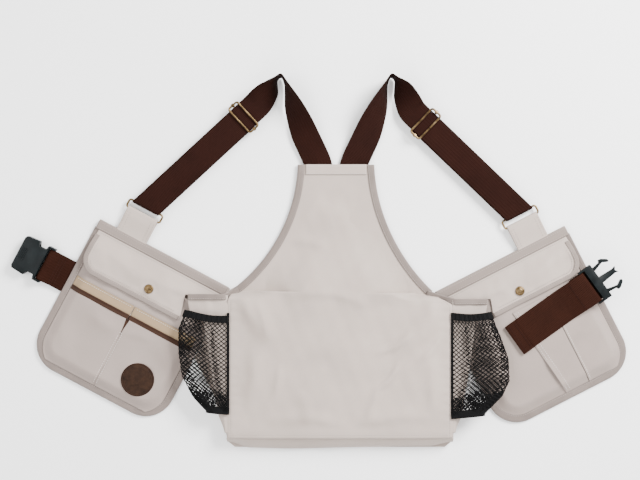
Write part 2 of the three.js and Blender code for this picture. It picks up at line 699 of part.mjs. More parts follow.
function addFrontPanel(name, slot) {
  const front = FRONTS[name];
  const { side } = front;
  const group = new THREE.Group();
  group.position.set(front.x, front.y, 0);
  group.rotation.z = side * radians(front.turn);
  vest.add(group);
  const base = new THREE.Shape(frontOutline(side, GAP, -0.5));
  addMesh(group, `${name}_base_panel`, plate(base, 0, CLOTH), "cloth");
  addMesh(group, `${name}_pocket_panel`, pocketPanel(side, slot), "cloth");
  addMesh(group, `${name}_edge_binding`, edgeBinding(side, slot), "binding");
  const bandZ = 4.5;
  const band = block(side * 4, side * (FRONT_WIDTH - 2), 0, -TOP_BAND, bandZ, bandZ + CLOTH);
  const lip = block(side * 4, side * (FRONT_WIDTH - 2), 0, 0.9, bandZ + CLOTH / 2, bandZ + CLOTH);
  addMesh(group, `${name}_top_band`, join(band, lip), "binding");
  addMesh(group, `${name}_tab`, tab(side), "cloth");
  const ring = wireLoop(TAB_WIDTH / 2 + 3, RING_WIDTH / 2, RING_Z).translate(side * TAB_U, TAB_LENGTH + RING_WIDTH / 2, 0);
  addMesh(group, `${name}_strap_ring`, ring, "brass");
  const plateau = CLOTH + GAP + POCKET_RISE;
  const { u, v } = SNAP[name];
  const stud = lathe([[0, 0], [SNAP_R * 0.8, 0], [SNAP_R * 0.8, 0.5], [0, 0.7]]);
  addMesh(group, `${name}_snap_stud`, stud.translate(side * u, -v, plateau + GAP), "brass");
  addFlap(front, group, name);
  addMesh(vest, `${name}_strap_loop`, strapLoop(name), "webbing");
  return group;
}

// The left pocket's two layers of small pockets: a tan-edged one behind a brown-edged one, and a badge.
const PATCH = { u0: 8, u1: 206, foot: 206, tanTop: 86, tanWidth: 14.5, brownWidth: 7 };

function addLeftPatches(group) {
  const side = FRONTS.left.side;
  const first = CLOTH + 2 * GAP + POCKET_RISE;
  const inner = FLANGE + RAMP + 2;
  const u0 = side * inner;
  const u1 = side * (FRONT_WIDTH - inner);
  const foot = -(FRONT_HEIGHT - FLANGE - RAMP - 16);
  const tan = -PATCH.tanTop;
  const brown = tan - PATCH.tanWidth;
  const second = first + CLOTH + GAP;
  addMesh(group, "left_rear_patch", block(u0, u1, tan - PATCH.tanWidth + 0.5, foot, first, first + CLOTH), "cloth");
  addMesh(group, "left_tan_band", block(u0, u1, tan, brown + 0.8, first, first + CLOTH + 0.3), "tan");
  addMesh(group, "left_brown_band", block(u0, u1, brown, brown - PATCH.brownWidth, second, second + CLOTH), "brown");
  const top = brown - PATCH.brownWidth - GAP;
  const middle = (u0 + u1) / 2;
  addMesh(group, "left_front_patch_inner", block(u0, middle + side * -0.2, top, foot, second, second + CLOTH), "cloth");
  addMesh(group, "left_front_patch_outer", block(middle + side * 0.2, u1, top, foot, second, second + CLOTH), "cloth");
  const badge = new THREE.CylinderGeometry(24, 24, 1.6, 24).rotateX(Math.PI / 2);
  addMesh(group, "leather_badge", badge.translate(side * 58.5, -177, second + CLOTH + GAP + 0.8), "leather");
}

function addRightPatch(group) {
  const z = CLOTH + 2 * GAP + POCKET_RISE;
  const far = FRONT_WIDTH - FLANGE - RAMP - 2;
  addMesh(group, "right_pleat_panel", block(84, 133, -78, -(FRONT_HEIGHT - 38), z, z + CLOTH), "cloth");
  addMesh(group, "right_patch_panel", block(133.4, far, -78, -(FRONT_HEIGHT - 38), z, z + CLOTH), "cloth");
}

// ---- Waist belt ----

const socketAt = { u: FRONT_WIDTH + SOCKET_REACH, z: SOCKET_THICK / 2 };

function leftBeltWebbing() {
  const eye = new THREE.Path();
  eye.absarc(0, socketAt.z, 2.9, 0, 2 * Math.PI);
  const outer = 2.9 + BELT_THICK;
  const shape = new THREE.Shape();
  const low = CLOTH + GAP;
  shape.moveTo(-SOCKET_REACH - 9, low);
  shape.lineTo(-8, low);
  shape.lineTo(0, socketAt.z - outer);
  shape.absarc(0, socketAt.z, outer, -Math.PI / 2, Math.PI / 2);
  shape.lineTo(-13, low + 2 * BELT_THICK);
  shape.lineTo(-22, low + 2 * BELT_THICK);
  shape.lineTo(-22.5, low + BELT_THICK);
  shape.lineTo(-SOCKET_REACH - 9, low + BELT_THICK);
  shape.holes.push(eye);
  return across(shape, BELT_WIDTH / 2);
}

// The socket half: a bar for the webbing, and a hollow mouth with a window at each side.
function buckleSocket() {
  const half = BUCKLE_HALF;
  const start = 6.4;
  const end = SOCKET_LENGTH;
  const outline = shapeOf([
    [-2.6, -half], [8, -half], [10, -half + 7], [20, -half + 7], [23, -half], [end - 2, -half + 1.5],
    [end, -half + 5], [end, half - 5], [end - 2, half - 1.5], [23, half], [20, half - 7], [10, half - 7],
    [8, half], [-2.6, half], [-2.6, half - 2.4], [start, half - 2.4], [start, -half + 2.4], [-2.6, -half + 2.4],
  ]);
  const shell = plate(outline, 0, SOCKET_THICK);
  const bar = rodY(2.4, half - 1, 0, 0, socketAt.z);
  const mouth = block(start + 3, end + 1, -half + 4.5, half - 4.5, 2, SOCKET_THICK - 2);
  return cut(join(shell, bar), mouth);
}

function addSocket(front) {
  const belt = new THREE.Group();
  belt.position.set(-socketAt.u, -BELT_V, 0);
  belt.rotation.z = Math.PI;
  front.add(belt);
  addMesh(belt, "left_belt_webbing", leftBeltWebbing(), "webbing");
  addMesh(belt, "buckle_socket", buckleSocket(), "plastic");
}

const PLUG_BAR_X = 2.2;
const ANCHOR_X = 22.5;

function beltAnchor() {
  const low = CLOTH + GAP + BELT_THICK / 2;
  const line = [flat(5, low), flat(ANCHOR_X - 2, low), flat(ANCHOR_X, low + 2), flat(ANCHOR_X, 10.8)];
  return across(new THREE.Shape(thicken(line, BELT_THICK)), BELT_WIDTH / 2);
}

// The webbing rises from its anchor, folds back under the plug, wraps its bar and lies back as a tail.
function beltWebbing() {
  const line = [
    [22.5, 11.6], [22.1, 12.9], [20.4, 13.4], [-13, 13.4], [-15.9, 14.2], [-16.6, 15.7], [-15.2, 17], [-12, 17.3],
    [1.5, 17.3], [4.9, 18.2], [6.1, 20.6], [4.9, 23], [1.5, 23.9], [-8, 22.7], [-18, 20.6], [-30, 16.2],
    [-40, 13.7], [-50, 13.4], [-130, 13.4],
  ].map(([x, z]) => flat(x, z));
  return across(new THREE.Shape(thicken(line, BELT_THICK)), BELT_WIDTH / 2);
}

function plugFrame() {
  const half = BUCKLE_HALF;
  const z0 = PLUG_Z - PLUG_THICK / 2;
  const rail = (y) => block(0, 21, y - 1.2, y + 1.2, z0, z0 + PLUG_THICK);
  const head = block(9, 21, -half, half, z0, z0 + PLUG_THICK);
  const bar = rodY(1.8, half - 1, PLUG_BAR_X, 0, PLUG_Z);
  const tongue = plate(shapeOf([[20, -5], [44, -3.4], [49, -4.6], [46, 0], [49, 4.6], [44, 3.4], [20, 5]]), PLUG_Z - 2.5, 5);
  return join(head, rail(half - 1.2), rail(1.2 - half), bar, tongue);
}

function plugArm(side) {
  const outline = [
    [21.4, 15.5], [21.4, 20.5], [33, 22], [34.5, 25.6], [39, 24.6], [46, 19.5], [46.6, 16], [44, 15.6], [37, 19.6], [31, 18.2],
  ];
  return plate(shapeOf(outline.map(([x, y]) => [x, side * y])), PLUG_Z - 2.8, 5.6);
}

function addPlug(front) {
  const belt = new THREE.Group();
  belt.position.set(PLUG.u, -PLUG.v, 0);
  belt.rotation.z = radians(PLUG.turn);
  front.add(belt);
  addMesh(belt, "right_belt_anchor", beltAnchor(), "webbing");
  addMesh(belt, "right_belt_webbing", beltWebbing(), "webbing");
  addMesh(belt, "buckle_plug", plugFrame(), "plastic");
  addMesh(belt, "plug_arm_upper", plugArm(1), "plastic");
  addMesh(belt, "plug_arm_lower", plugArm(-1), "plastic");
}

// The slots through the edge binding and the pocket's flange where the belt is sewn in.
const slotZ = [CLOTH + GAP / 2, 2 * CLOTH + 2 * GAP];
const leftSlot = block(-FRONT_WIDTH - 3, -FRONT_WIDTH + 10, -BELT_V - 25, -BELT_V + 25, ...slotZ);
const rightSlot = block(3.5, 22, -25, 25, ...slotZ).rotateZ(radians(PLUG.turn)).translate(PLUG.u, -PLUG.v, 0);

addBack();
for (const name of Object.keys(FRONTS)) {
  addMesh(vest, `${name}_shoulder_webbing`, shoulderWebbing(name), "webbing");
  addMesh(vest, `${name}_strap_return`, strapReturn(name), "webbing");
  addSlider(name);
}
const leftFront = addFrontPanel("left", leftSlot);
addLeftPatches(leftFront);
addSocket(leftFront);
const rightFront = addFrontPanel("right", rightSlot);
addRightPatch(rightFront);
addPlug(rightFront);

export default vest;
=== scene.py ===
import json
import math

import bpy
import bmesh
import numpy as np
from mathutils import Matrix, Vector


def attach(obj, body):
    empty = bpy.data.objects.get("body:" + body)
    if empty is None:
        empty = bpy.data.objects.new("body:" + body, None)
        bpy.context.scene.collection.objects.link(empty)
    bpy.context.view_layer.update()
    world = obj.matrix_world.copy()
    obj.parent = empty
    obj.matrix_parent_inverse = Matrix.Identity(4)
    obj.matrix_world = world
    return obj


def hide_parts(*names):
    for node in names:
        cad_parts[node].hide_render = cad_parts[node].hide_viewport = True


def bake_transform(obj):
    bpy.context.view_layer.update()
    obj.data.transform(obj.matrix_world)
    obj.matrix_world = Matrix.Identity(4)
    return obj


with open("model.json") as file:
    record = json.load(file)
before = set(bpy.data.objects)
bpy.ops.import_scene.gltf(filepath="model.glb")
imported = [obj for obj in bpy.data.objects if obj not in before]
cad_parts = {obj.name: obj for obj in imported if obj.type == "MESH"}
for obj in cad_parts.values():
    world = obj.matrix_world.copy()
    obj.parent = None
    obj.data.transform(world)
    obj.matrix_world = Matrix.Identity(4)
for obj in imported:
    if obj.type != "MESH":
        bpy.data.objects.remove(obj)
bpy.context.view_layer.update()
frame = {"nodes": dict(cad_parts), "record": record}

bl_info = {
    "name": "Field Vest Builder",
    "version": (1, 0, 0),
    "blender": (4, 0, 0),
    "location": "View3D > Sidebar > Field Vest",
    "description": "Builds the cloth, webbing, hardware and stage of a flat-laid field vest",
    "category": "Object",
}

JOINTS = {joint["name"]: joint for joint in frame["record"]["behaviour"]["joints"]}
SIDES = ("left", "right")
SIDE_SIGN = {"left": -1.0, "right": 1.0}

# Driving sizes, in millimetres.
YOKE_HALF = 54.0
YOKE_TOP = 196.0
ARMHOLE_END = {"left": (151.0, 13.0), "right": (142.0, 9.0)}
BAG_EDGE = {"left": -156.5, "right": 167.5}
BAG_BOTTOM = -197.0
BAG_MOUTH = 3.0
BAG_DEPTH = 23.0
BAG_CROWN = 3.0
YOKE_GAP_Z = 3.6
RIM_Z = YOKE_GAP_Z + 0.88 * BAG_DEPTH
PANEL_W = 214.0
PANEL_H = 224.0
PANEL_R = 42.0
MOUTH_V = 41.0
PLATEAU_Z = 10.4
FLAP_TOP_V = 13.2
FLAP_Z = 12.8
FLAP_HEM = {"left": 74.0, "right": 69.0}
FLAP_CORNER = 25.0
FLAP_INNER = {
    "left": ((6.0, 13.1), (53.0, 36.5), (45.0, 66.0)),
    "right": ((8.0, 13.1), (69.0, 43.0), (62.0, 66.0)),
}
SNAP = {"left": (103.0, 54.0), "right": (112.0, 52.0)}
SNAP_R = 6.8
TAB_U = 162.0
TAB_W = 48.0
TAB_LENGTH = 36.0
RING_WIDTH = 12.0
RING_Z = 5.75
WIRE_R = 1.5
STRAP_W = 40.0
STRAP_T = 1.6
STRAP_TOP_Z = 10.3
STRAP_LOW_Z = 1.2
SLIDER_AT = {"left": (-133.4, 263.9), "right": (129.0, 254.5)}
SLIDER_HALF = 23.0
SLIDER_LENGTH = 17.0
SLIDER_Z = 12.9
BELT_W = 48.0
BELT_T = 1.25
TAPE_T = 0.8
BOX_STITCH = {"pitch": 2.8, "length": 2.0}
BELT_V = 94.0
SOCKET_REACH = 37.0
PLUG_UV = (200.0, 93.0)
PLUG_TURN = 8.6
GUSSET_Z = 16.3
MESH_TOP = 30.0
CREASE = {
    "left": ((3, 57), (-16, 57), (-26, 36), (-150, 16), (-190, 8)),
    "right": ((-3, 51), (-20, 51), (-30, 36), (-150, 16), (-190, 8)),
}
MESH_REACH = {
    "left": ((-17, 60), (-45, 71), (-80, 71), (-112, 66), (-141, 50), (-160, 30)),
    "right": ((-17, 54), (-52, 69), (-85, 81), (-118, 83), (-140, 72), (-166, 46)),
}


# ---------------------------------------------------------------- small maths

def smooth(x, lo, hi):
    """0 below lo, 1 above hi, and three t squared minus two t cubed in between."""
    t = np.clip((np.asarray(x, float) - lo) / (hi - lo), 0.0, 1.0)
    return t * t * (3.0 - 2.0 * t)


def mix(a, b, t):
    """a plus t times the way from a to b."""
    return a + (b - a) * t


def unit(v):
    """v divided by its own length, along the last axis."""
    return v / np.maximum(np.linalg.norm(v, axis=-1, keepdims=True), 1e-12)


def bezier(points, t):
    """A cubic curve: the four points weighted by the Bernstein polynomials of t."""
    p = np.asarray(points, float)
    t = np.asarray(t, float)[..., None]
    s = 1.0 - t
    return s**3 * p[0] + 3 * s**2 * t * p[1] + 3 * s * t**2 * p[2] + t**3 * p[3]


def running(path):
    """The length run along a path by each of its points."""
    return np.r_[0.0, np.cumsum(np.linalg.norm(np.diff(path, axis=0), axis=1))]


def bell(x, width):
    """One at x = 0, falling off to either side as e to the minus (x over width) squared."""
    return np.exp(-((x / width) ** 2))


def level_rows(first, last, rows, cols):
    """A rows by cols grid whose rows hold equal steps from first to last."""
    return np.linspace(first, last, rows)[:, None] * np.ones((1, cols))


def resample(path, count=None, step=None):
    """The path cut into equal lengths, read by linear interpolation along its own length."""
    path = np.asarray(path, float)
    length = running(path)
    count = count or max(int(length[-1] / step), 2) + 1
    at = np.linspace(0.0, length[-1], count)
    return np.stack([np.interp(at, length, path[:, k]) for k in range(path.shape[1])], axis=1)


def soften_path(path, rounds):
    """Each inner point moved half way to the middle of its neighbours, this many times."""
    path = np.array(path, float)
    for _ in range(rounds):
        path[1:-1] = 0.5 * path[1:-1] + 0.25 * (path[:-2] + path[2:])
    return path


def waves(x, y, seed, size, count=7):
    """A sum of sine waves in seeded directions, each about size long, scaled to about one."""
    rng = np.random.default_rng(seed)
    total = np.zeros_like(x, dtype=float)
    for _ in range(count):
        angle = rng.uniform(0, math.pi)
        length = size * rng.uniform(0.6, 1.7)
        phase = rng.uniform(0, 2 * math.pi)
        along = x * math.cos(angle) + y * math.sin(angle)
        total += np.sin(2 * math.pi * along / length + phase)
    return total / math.sqrt(count)


def creases(x, y, lines):
    """Soft ridges: each line's height falls off as a bell with the distance from it, and fades at its ends."""
    total = np.zeros_like(x, dtype=float)
    for x0, y0, x1, y1, width, height in lines:
        length = math.hypot(x1 - x0, y1 - y0)
        dx, dy = (x1 - x0) / length, (y1 - y0) / length
        along = ((x - x0) * dx + (y - y0) * dy) / length
        bow = 0.08 * length * np.sin(np.pi * np.clip(along, 0, 1))
        off = -(x - x0) * dy + (y - y0) * dx - bow
        fade = smooth(along, -0.15, 0.3) * (1 - smooth(along, 0.6, 1.15))
        total += height * fade * bell(off, width)
    return total


# ---------------------------------------------------------------- mesh makers

def new_mesh(name, verts, quads, uv, material):
    """A mesh object from vertices in millimetres, quads, and a UV in metres for each vertex."""
    mesh = bpy.data.meshes.new(name)
    count, faces = len(verts), len(quads)
    mesh.vertices.add(count)
    mesh.loops.add(faces * 4)
    mesh.polygons.add(faces)
    mesh.vertices.foreach_set("co", (np.asarray(verts, float) * 0.001).astype(np.float32).ravel())
    mesh.loops.foreach_set("vertex_index", np.asarray(quads, np.int32).ravel())
    mesh.polygons.foreach_set("loop_start", np.arange(0, faces * 4, 4, dtype=np.int32))
    mesh.update(calc_edges=True)
    layer = mesh.uv_layers.new(name="UVMap")
    layer.data.foreach_set("uv", np.asarray(uv, np.float32)[np.asarray(quads).ravel()].ravel())
    mesh.polygons.foreach_set("use_smooth", np.full(faces, True))
    mesh.validate()
    mesh.update()
    obj = bpy.data.objects.new(name, mesh)
    bpy.context.scene.collection.objects.link(obj)
    mesh.materials.append(material)
    return obj


def grid_quads(rows, cols, wrap_rows=False, wrap_cols=False):
    """The quads of a rows by cols grid of vertices, optionally closed on itself either way."""
    r = np.arange(rows if wrap_rows else rows - 1)[:, None]
    c = np.arange(cols if wrap_cols else cols - 1)[None, :]
    r2, c2 = (r + 1) % rows, (c + 1) % cols
    return np.stack([r * cols + c, r * cols + c2, r2 * cols + c2, r2 * cols + c], axis=-1).reshape(-1, 4)


def surface_normals(points):
    """The cross product of the grid's two directions, made one long."""
    across = np.gradient(points, axis=1)
    down = np.gradient(points, axis=0)
    return unit(np.cross(across, down))


def grid_uv(points):
    """UV in metres: the running length along the middle row and the middle column."""
    middle_row = points[points.shape[0] // 2]
    middle_col = points[:, points.shape[1] // 2]
    uu, vv = np.meshgrid(running(middle_row), running(middle_col))
    return np.stack([uu, vv], axis=-1) * 0.001


def cloth(name, points, thick, material, body, replaces=()):
    """A closed sheet of cloth: the grid, given half its thickness to each side along its normals.

    Its flat size is read from the same grid. The table check's area share is near 1 by construction."""
    rows, cols, _ = points.shape
    normal = surface_normals(points)
    upper = points + normal * thick / 2
    lower = points - normal * thick / 2
    quads = grid_quads(rows, cols)
    count = rows * cols
    index = np.arange(count).reshape(rows, cols)
    rim = np.concatenate([index[0, :], index[1:, -1], index[-1, -2::-1], index[-2:0:-1, 0]])
    ahead = np.roll(rim, -1)
    sides = np.stack([rim, rim + count, ahead + count, ahead], axis=-1)
    faces = np.concatenate([quads, quads[:, ::-1] + count, sides])
    verts = np.concatenate([upper.reshape(-1, 3), lower.reshape(-1, 3)])
    uv = grid_uv(points).reshape(-1, 2)
    obj = new_mesh(name, verts, faces, np.concatenate([uv, uv]), material)
    sides = [np.linalg.norm(np.diff(points, axis=k), axis=-1).sum(axis=k).max() / 1000 for k in (1, 0)]
    settle(obj, body, replaces)


def settle(obj, body, replaces=()):
    """Puts a piece on its body, and hides the CAD nodes it stands for."""
    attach(obj, body)
    if replaces:
        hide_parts(*replaces)


def end_caps(rows, cols):
    """The quads that close both ends of a tube of rows rings, each ring of cols points."""
    half = cols // 2
    caps = []
    for row, flip in ((0, 1), (rows - 1, -1)):
        ring = np.arange(cols) + row * cols
        cap = [[ring[i], ring[(i + 1) % cols], ring[cols - 2 - i], ring[cols - 1 - i]] for i in range(half - 1)]
        caps.append(np.array(cap)[:, ::flip])
    return caps


def tube(name, rings, uv, material, closed=False):
    """A mesh through rings of points, closed on itself or capped at both ends, facing out."""
    rows, cols, _ = rings.shape
    quads = grid_quads(rows, cols, closed, True)
    if not closed:
        quads = np.concatenate([quads, *end_caps(rows, cols)])
    obj = new_mesh(name, rings.reshape(-1, 3), quads, uv, material)
    face_outward(obj)
    return obj


def sweep(name, path, side, profile, material, closed=False):
    """A closed profile carried along a path: across along side, up along tangent cross side."""
    path, side = np.asarray(path, float), unit(np.asarray(side, float))
    profile = np.asarray(profile, float)
    if closed:
        tangent = unit(np.roll(path, -1, axis=0) - np.roll(path, 1, axis=0))
    else:
        tangent = unit(np.gradient(path, axis=0))
    if side.ndim == 1:
        side = np.tile(side, (len(path), 1))
    side = unit(side - tangent * np.sum(side * tangent, axis=1, keepdims=True))
    up = np.cross(side, tangent)
    up *= np.sign(np.sum(up[:, 2]) + 1e-9)
    rings = path[:, None] + side[:, None] * profile[None, :, :1] + up[:, None] * profile[None, :, 1:]
    uv = np.stack(np.meshgrid(running(profile), running(path)), axis=-1).reshape(-1, 2) * 0.001
    return tube(name, rings, uv, material, closed)


def face_outward(obj):
    """Turns the faces so that their normals point out of the closed surface."""
    work = bmesh.new()
    work.from_mesh(obj.data)
    bmesh.ops.recalc_face_normals(work, faces=work.faces[:])
    work.to_mesh(obj.data)
    work.free()


def circle(radius, count):
    """count points at equal angles on a circle."""
    angle = np.linspace(0, 2 * math.pi, count, endpoint=False)
    return np.stack([radius * np.cos(angle), radius * np.sin(angle)], axis=1)


def tape_profile(width, thick, count=10):
    """A flat closed section with softly rounded edges: a stretched superellipse."""
    angle = np.linspace(0, 2 * math.pi, 2 * count, endpoint=False) + math.pi / (2 * count)
    c, s = np.cos(angle), np.sin(angle)
    x = np.sign(c) * np.abs(c) ** 0.35 * width / 2
    y = np.sign(s) * np.abs(s) ** 0.6 * thick / 2
    return np.stack([x, y], axis=1)


def thicken(line, thick):
    """A closed outline half the thickness to each side of a line, along its mitred normals."""
    line = np.asarray(line, float)
    tangent = unit(np.gradient(line, axis=0))
    normal = np.stack([-tangent[:, 1], tangent[:, 0]], axis=1)
    return np.concatenate([line + normal * thick / 2, (line - normal * thick / 2)[::-1]])


def stitches(name, path, body, material, pitch=3.4, length=2.3, radius=0.34, up=(0, 0, 1), lift=0.05, slot=None):
    """Thread seen as short spindles along a path: each one a six-sided ring drawn in to a point at both ends."""
    paths = path if isinstance(path, list) else [path]
    ends, sides, centres, tangents = 4, 6, [], []
    for one in paths:
        dense = resample(one, step=0.5)
        count = max(int(len(dense) * 0.5 / pitch), 2)
        spots = resample(dense, count=count * 2 + 1)
        centres.append(spots[1::2])
        tangents.append(unit(spots[2::2] - spots[:-2:2]))
    centre, tangent = np.concatenate(centres), np.concatenate(tangents)
    up = np.tile(np.asarray(up, float), (len(centre), 1))
    side = unit(np.cross(tangent, up))
    top = np.cross(side, tangent)
    along = np.array([-0.5, -0.32, 0.32, 0.5]) * length
    swell = np.array([0.25, 1.0, 1.0, 0.25]) * radius
    dip = np.array([-0.5, 0.15, 0.15, -0.5]) * radius + lift
    angle = np.linspace(0, 2 * math.pi, sides, endpoint=False)
    ring = (
        centre[:, None, None]
        + tangent[:, None, None] * along[None, :, None, None]
        + side[:, None, None] * (swell[:, None] * np.cos(angle)[None])[None, ..., None]
        + top[:, None, None] * (swell[:, None] * np.sin(angle)[None] * 0.7 + dip[:, None])[None, ..., None]
    )
    verts = ring.reshape(-1, 3)
    base = grid_quads(ends, sides, False, True)
    caps = np.array([[0, 1, 2, 3], [0, 3, 4, 5], [18, 23, 22, 21], [18, 21, 20, 19]])
    one = np.concatenate([base, caps])
    quads = (one[None] + (np.arange(len(centre)) * ends * sides)[:, None, None]).reshape(-1, 4)
    uv = np.stack([np.tile(np.arange(sides) / sides, ends), np.repeat(np.arange(ends) / ends, sides)], axis=1)
    uv = np.tile(uv, (len(centre), 1))
    obj = new_mesh(name, verts, quads, uv * 0.002, material)
    face_outward(obj)
    settle(obj, body, ())


def lathe(name, profile, centre, material, count):
    """A profile of (radius, height) turned about the vertical through centre."""
    profile = np.asarray(profile, float)
    angle = np.linspace(0, 2 * math.pi, count, endpoint=False)
    x = profile[:, :1] * np.cos(angle)[None]
    y = profile[:, :1] * np.sin(angle)[None]
    z = np.repeat(profile[:, 1:], count, axis=1)
    points = np.stack([x, y, z], axis=-1) + np.asarray(centre, float)
    quads = grid_quads(len(profile), count, False, True)
    uv = np.stack(np.meshgrid(angle * 0.005, profile[:, 0] * 0.001), axis=-1).reshape(-1, 2)
    obj = new_mesh(name, points.reshape(-1, 3), quads, uv, material)
    work = bmesh.new()
    work.from_mesh(obj.data)
    bmesh.ops.remove_doubles(work, verts=work.verts[:], dist=2e-6)
    bmesh.ops.recalc_face_normals(work, faces=work.faces[:])
    work.to_mesh(obj.data)
    work.free()
    return obj


# ---------------------------------------------------------------- materials

class Shader:
    """A small helper that adds and links shader nodes."""

    def __init__(self, name, roughness, metallic=0.0, sheen=0.0, specular=0.5):
        self.material = bpy.data.materials.new(name)
        self.material.use_nodes = True
        self.tree = self.material.node_tree
        self.tree.nodes.clear()
        output = self.tree.nodes.new("ShaderNodeOutputMaterial")
        self.bsdf = self.tree.nodes.new("ShaderNodeBsdfPrincipled")
        self.link(self.bsdf.outputs["BSDF"], output.inputs["Surface"])
        self.bsdf.inputs["Roughness"].default_value = roughness
        self.bsdf.inputs["Metallic"].default_value = metallic
        self.bsdf.inputs["Specular IOR Level"].default_value = specular
        self.bsdf.inputs["Sheen Weight"].default_value = sheen
        self.bsdf.inputs["Sheen Roughness"].default_value = 0.5
        self.coords = self.tree.nodes.new("ShaderNodeTexCoord")

    def link(self, out, into):
        self.tree.links.new(out, into)

    def value(self, socket, given):
        if hasattr(given, "is_linked"):
            self.link(given, socket)
        else:
            socket.default_value = given

    def math(self, kind, a, b=0.0, c=None):
        node = self.tree.nodes.new("ShaderNodeMath")
        node.operation = kind
        self.value(node.inputs[0], a)
        self.value(node.inputs[1], b)
        if c is not None:
            self.value(node.inputs[2], c)
        return node.outputs[0]

    def noise(self, size, detail=3.0, rough=0.55, where="Object", stretch=None):
        node = self.tree.nodes.new("ShaderNodeTexNoise")
        vector = self.coords.outputs[where]
        if stretch:
            mapping = self.tree.nodes.new("ShaderNodeMapping")
            self.link(vector, mapping.inputs["Vector"])
            mapping.inputs["Scale"].default_value = stretch
            vector = mapping.outputs["Vector"]
        self.link(vector, node.inputs["Vector"])
        node.inputs["Scale"].default_value = 1.0 / size
        node.inputs["Detail"].default_value = detail
        node.inputs["Roughness"].default_value = rough
        return node.outputs["Fac"]

    def uv_axes(self, wobble=0.0):
        split = self.tree.nodes.new("ShaderNodeSeparateXYZ")
        self.link(self.coords.outputs["UV"], split.inputs[0])
        u, v = split.outputs[0], split.outputs[1]
        if wobble:
            shake = self.math("MULTIPLY_ADD", self.noise(0.012, 2.0), wobble, -wobble / 2)
            u, v = self.math("ADD", u, shake), self.math("ADD", v, shake)
        return u, v

    def ridge(self, coordinate, period):
        turned = self.math("MULTIPLY", coordinate, 2 * math.pi / period)
        return self.math("MULTIPLY_ADD", self.math("SINE", turned), 0.5, 0.5)

    def ramp(self, factor, stops):
        node = self.tree.nodes.new("ShaderNodeValToRGB")
        elements = node.color_ramp.elements
        while len(elements) < len(stops):
            elements.new(0.5)
        for element, (position, color) in zip(elements, stops):
            element.position = position
            element.color = (*color, 1.0)
        self.link(factor, node.inputs["Fac"])
        return node.outputs["Color"]

    def blend(self, factor, a, b, kind="MIX"):
        node = self.tree.nodes.new("ShaderNodeMix")
        node.data_type = "RGBA"
        node.blend_type = kind
        self.value(node.inputs["Factor"], factor)
        for socket, given in ((node.inputs[6], a), (node.inputs[7], b)):
            self.value(socket, (*given, 1.0) if isinstance(given, tuple) and len(given) == 3 else given)
        return node.outputs[2]

    def bump(self, height, distance, strength=1.0, after=None):
        node = self.tree.nodes.new("ShaderNodeBump")
        node.inputs["Strength"].default_value = strength
        node.inputs["Distance"].default_value = distance
        self.link(height, node.inputs["Height"])
        if after is not None:
            self.link(after, node.inputs["Normal"])
        return node.outputs["Normal"]

    def finish(self, color, normal=None, roughness=None):
        self.value(self.bsdf.inputs["Base Color"], color)
        if normal is not None:
            self.link(normal, self.bsdf.inputs["Normal"])
        if roughness is not None:
            self.link(roughness, self.bsdf.inputs["Roughness"])
        return self.material


def canvas_material(name, color, thread=0.0011):
    """Plain-woven canvas: two crossed sets of threads, slubs along them, faint dust and wear, and painted highlight on
    the thread crests.
    """
    s = Shader(name, 0.88, sheen=0.10, specular=0.16)
    u, v = s.uv_axes(0.0009)
    warp, weft = s.ridge(u, thread), s.ridge(v, thread)
    weave = s.math("MAXIMUM", warp, weft)
    slub = s.noise(0.0025, 3.0, 0.6, "UV", (1.0, 7.0, 1.0))
    slub_across = s.noise(0.0025, 3.0, 0.6, "UV", (7.0, 1.0, 1.0))
    height = s.math("ADD", weave, s.math("MULTIPLY", s.math("ADD", slub, slub_across), 0.6))
    cloud = s.noise(0.09, 4.0, 0.55)
    light = tuple(min(c * 1.05, 1.0) for c in color)
    dark = tuple(c * 0.9 for c in color)
    base = s.ramp(cloud, [(0.3, dark), (0.7, light)])
    fleck = s.ramp(s.math("MULTIPLY", slub, slub_across), [(0.15, (0.9, 0.89, 0.88)), (0.4, (1.04, 1.04, 1.04))])
    base = s.blend(0.65, base, fleck, "MULTIPLY")
    # Painted highlight: the colour is lightened on the weave's thread crests.
    weave_highlight_color = s.blend(s.math("MULTIPLY", weave, 0.3), base, tuple(min(c * 1.08, 1.0) for c in color))
    soft = s.bump(s.noise(0.035, 4.0, 0.5), 0.0022, 0.35)
    return s.finish(weave_highlight_color, s.bump(height, 0.00022, 0.5, soft))


def ribbed_material(name, color, rib=0.0016, across=True, cross=0.003, depth=0.0004, sheen=0.1, specular=0.25):
    """Ribbed tape: ribs one way, a finer thread the other, with a herringbone wobble and worn threads, painted shade in
    the grooves and painted highlight on the rib crests.
    """
    s = Shader(name, 0.78, sheen=sheen, specular=specular)
    u, v = s.uv_axes(0.0003)
    first, second = (v, u) if across else (u, v)
    ribs = s.ridge(first, rib)
    threads = s.ridge(second, cross)
    height = s.math("ADD", ribs, s.math("MULTIPLY", threads, 0.5))
    fibre = s.noise(0.0012, 3.0, 0.7)
    height = s.math("ADD", height, s.math("MULTIPLY", fibre, 0.5))
    # Painted shade and highlight: the colour follows the ribs, darker in the grooves and lighter on the crests, with a
    # random mottle mixed in.
    rib_shade_and_mottle = s.math("MULTIPLY_ADD", ribs, 0.5, s.math("MULTIPLY", s.noise(0.03, 3.0), 0.5))
    base = s.ramp(rib_shade_and_mottle, [(0.15, tuple(c * 0.62 for c in color)), (0.75, tuple(min(c * 1.3, 1.0) for c in color))])
    return s.finish(base, s.bump(height, depth, 0.7))


def brass_material():
    """Antique brass: bright on the high spots, brown in the low ones, with fine scratches."""
    s = Shader("antique_brass_look", 0.34, metallic=1.0)
    patina = s.noise(0.006, 5.0, 0.65)
    color = s.ramp(patina, [(0.32, (0.045, 0.028, 0.014)), (0.55, (0.16, 0.105, 0.050)), (0.75, (0.34, 0.25, 0.14))])
    scratch = s.noise(0.0012, 2.0, 0.5, "Object", (1.0, 9.0, 1.0))
    rough = s.math("MULTIPLY_ADD", patina, 0.35, 0.2)
    return s.finish(color, s.bump(scratch, 0.00012, 0.35), rough)


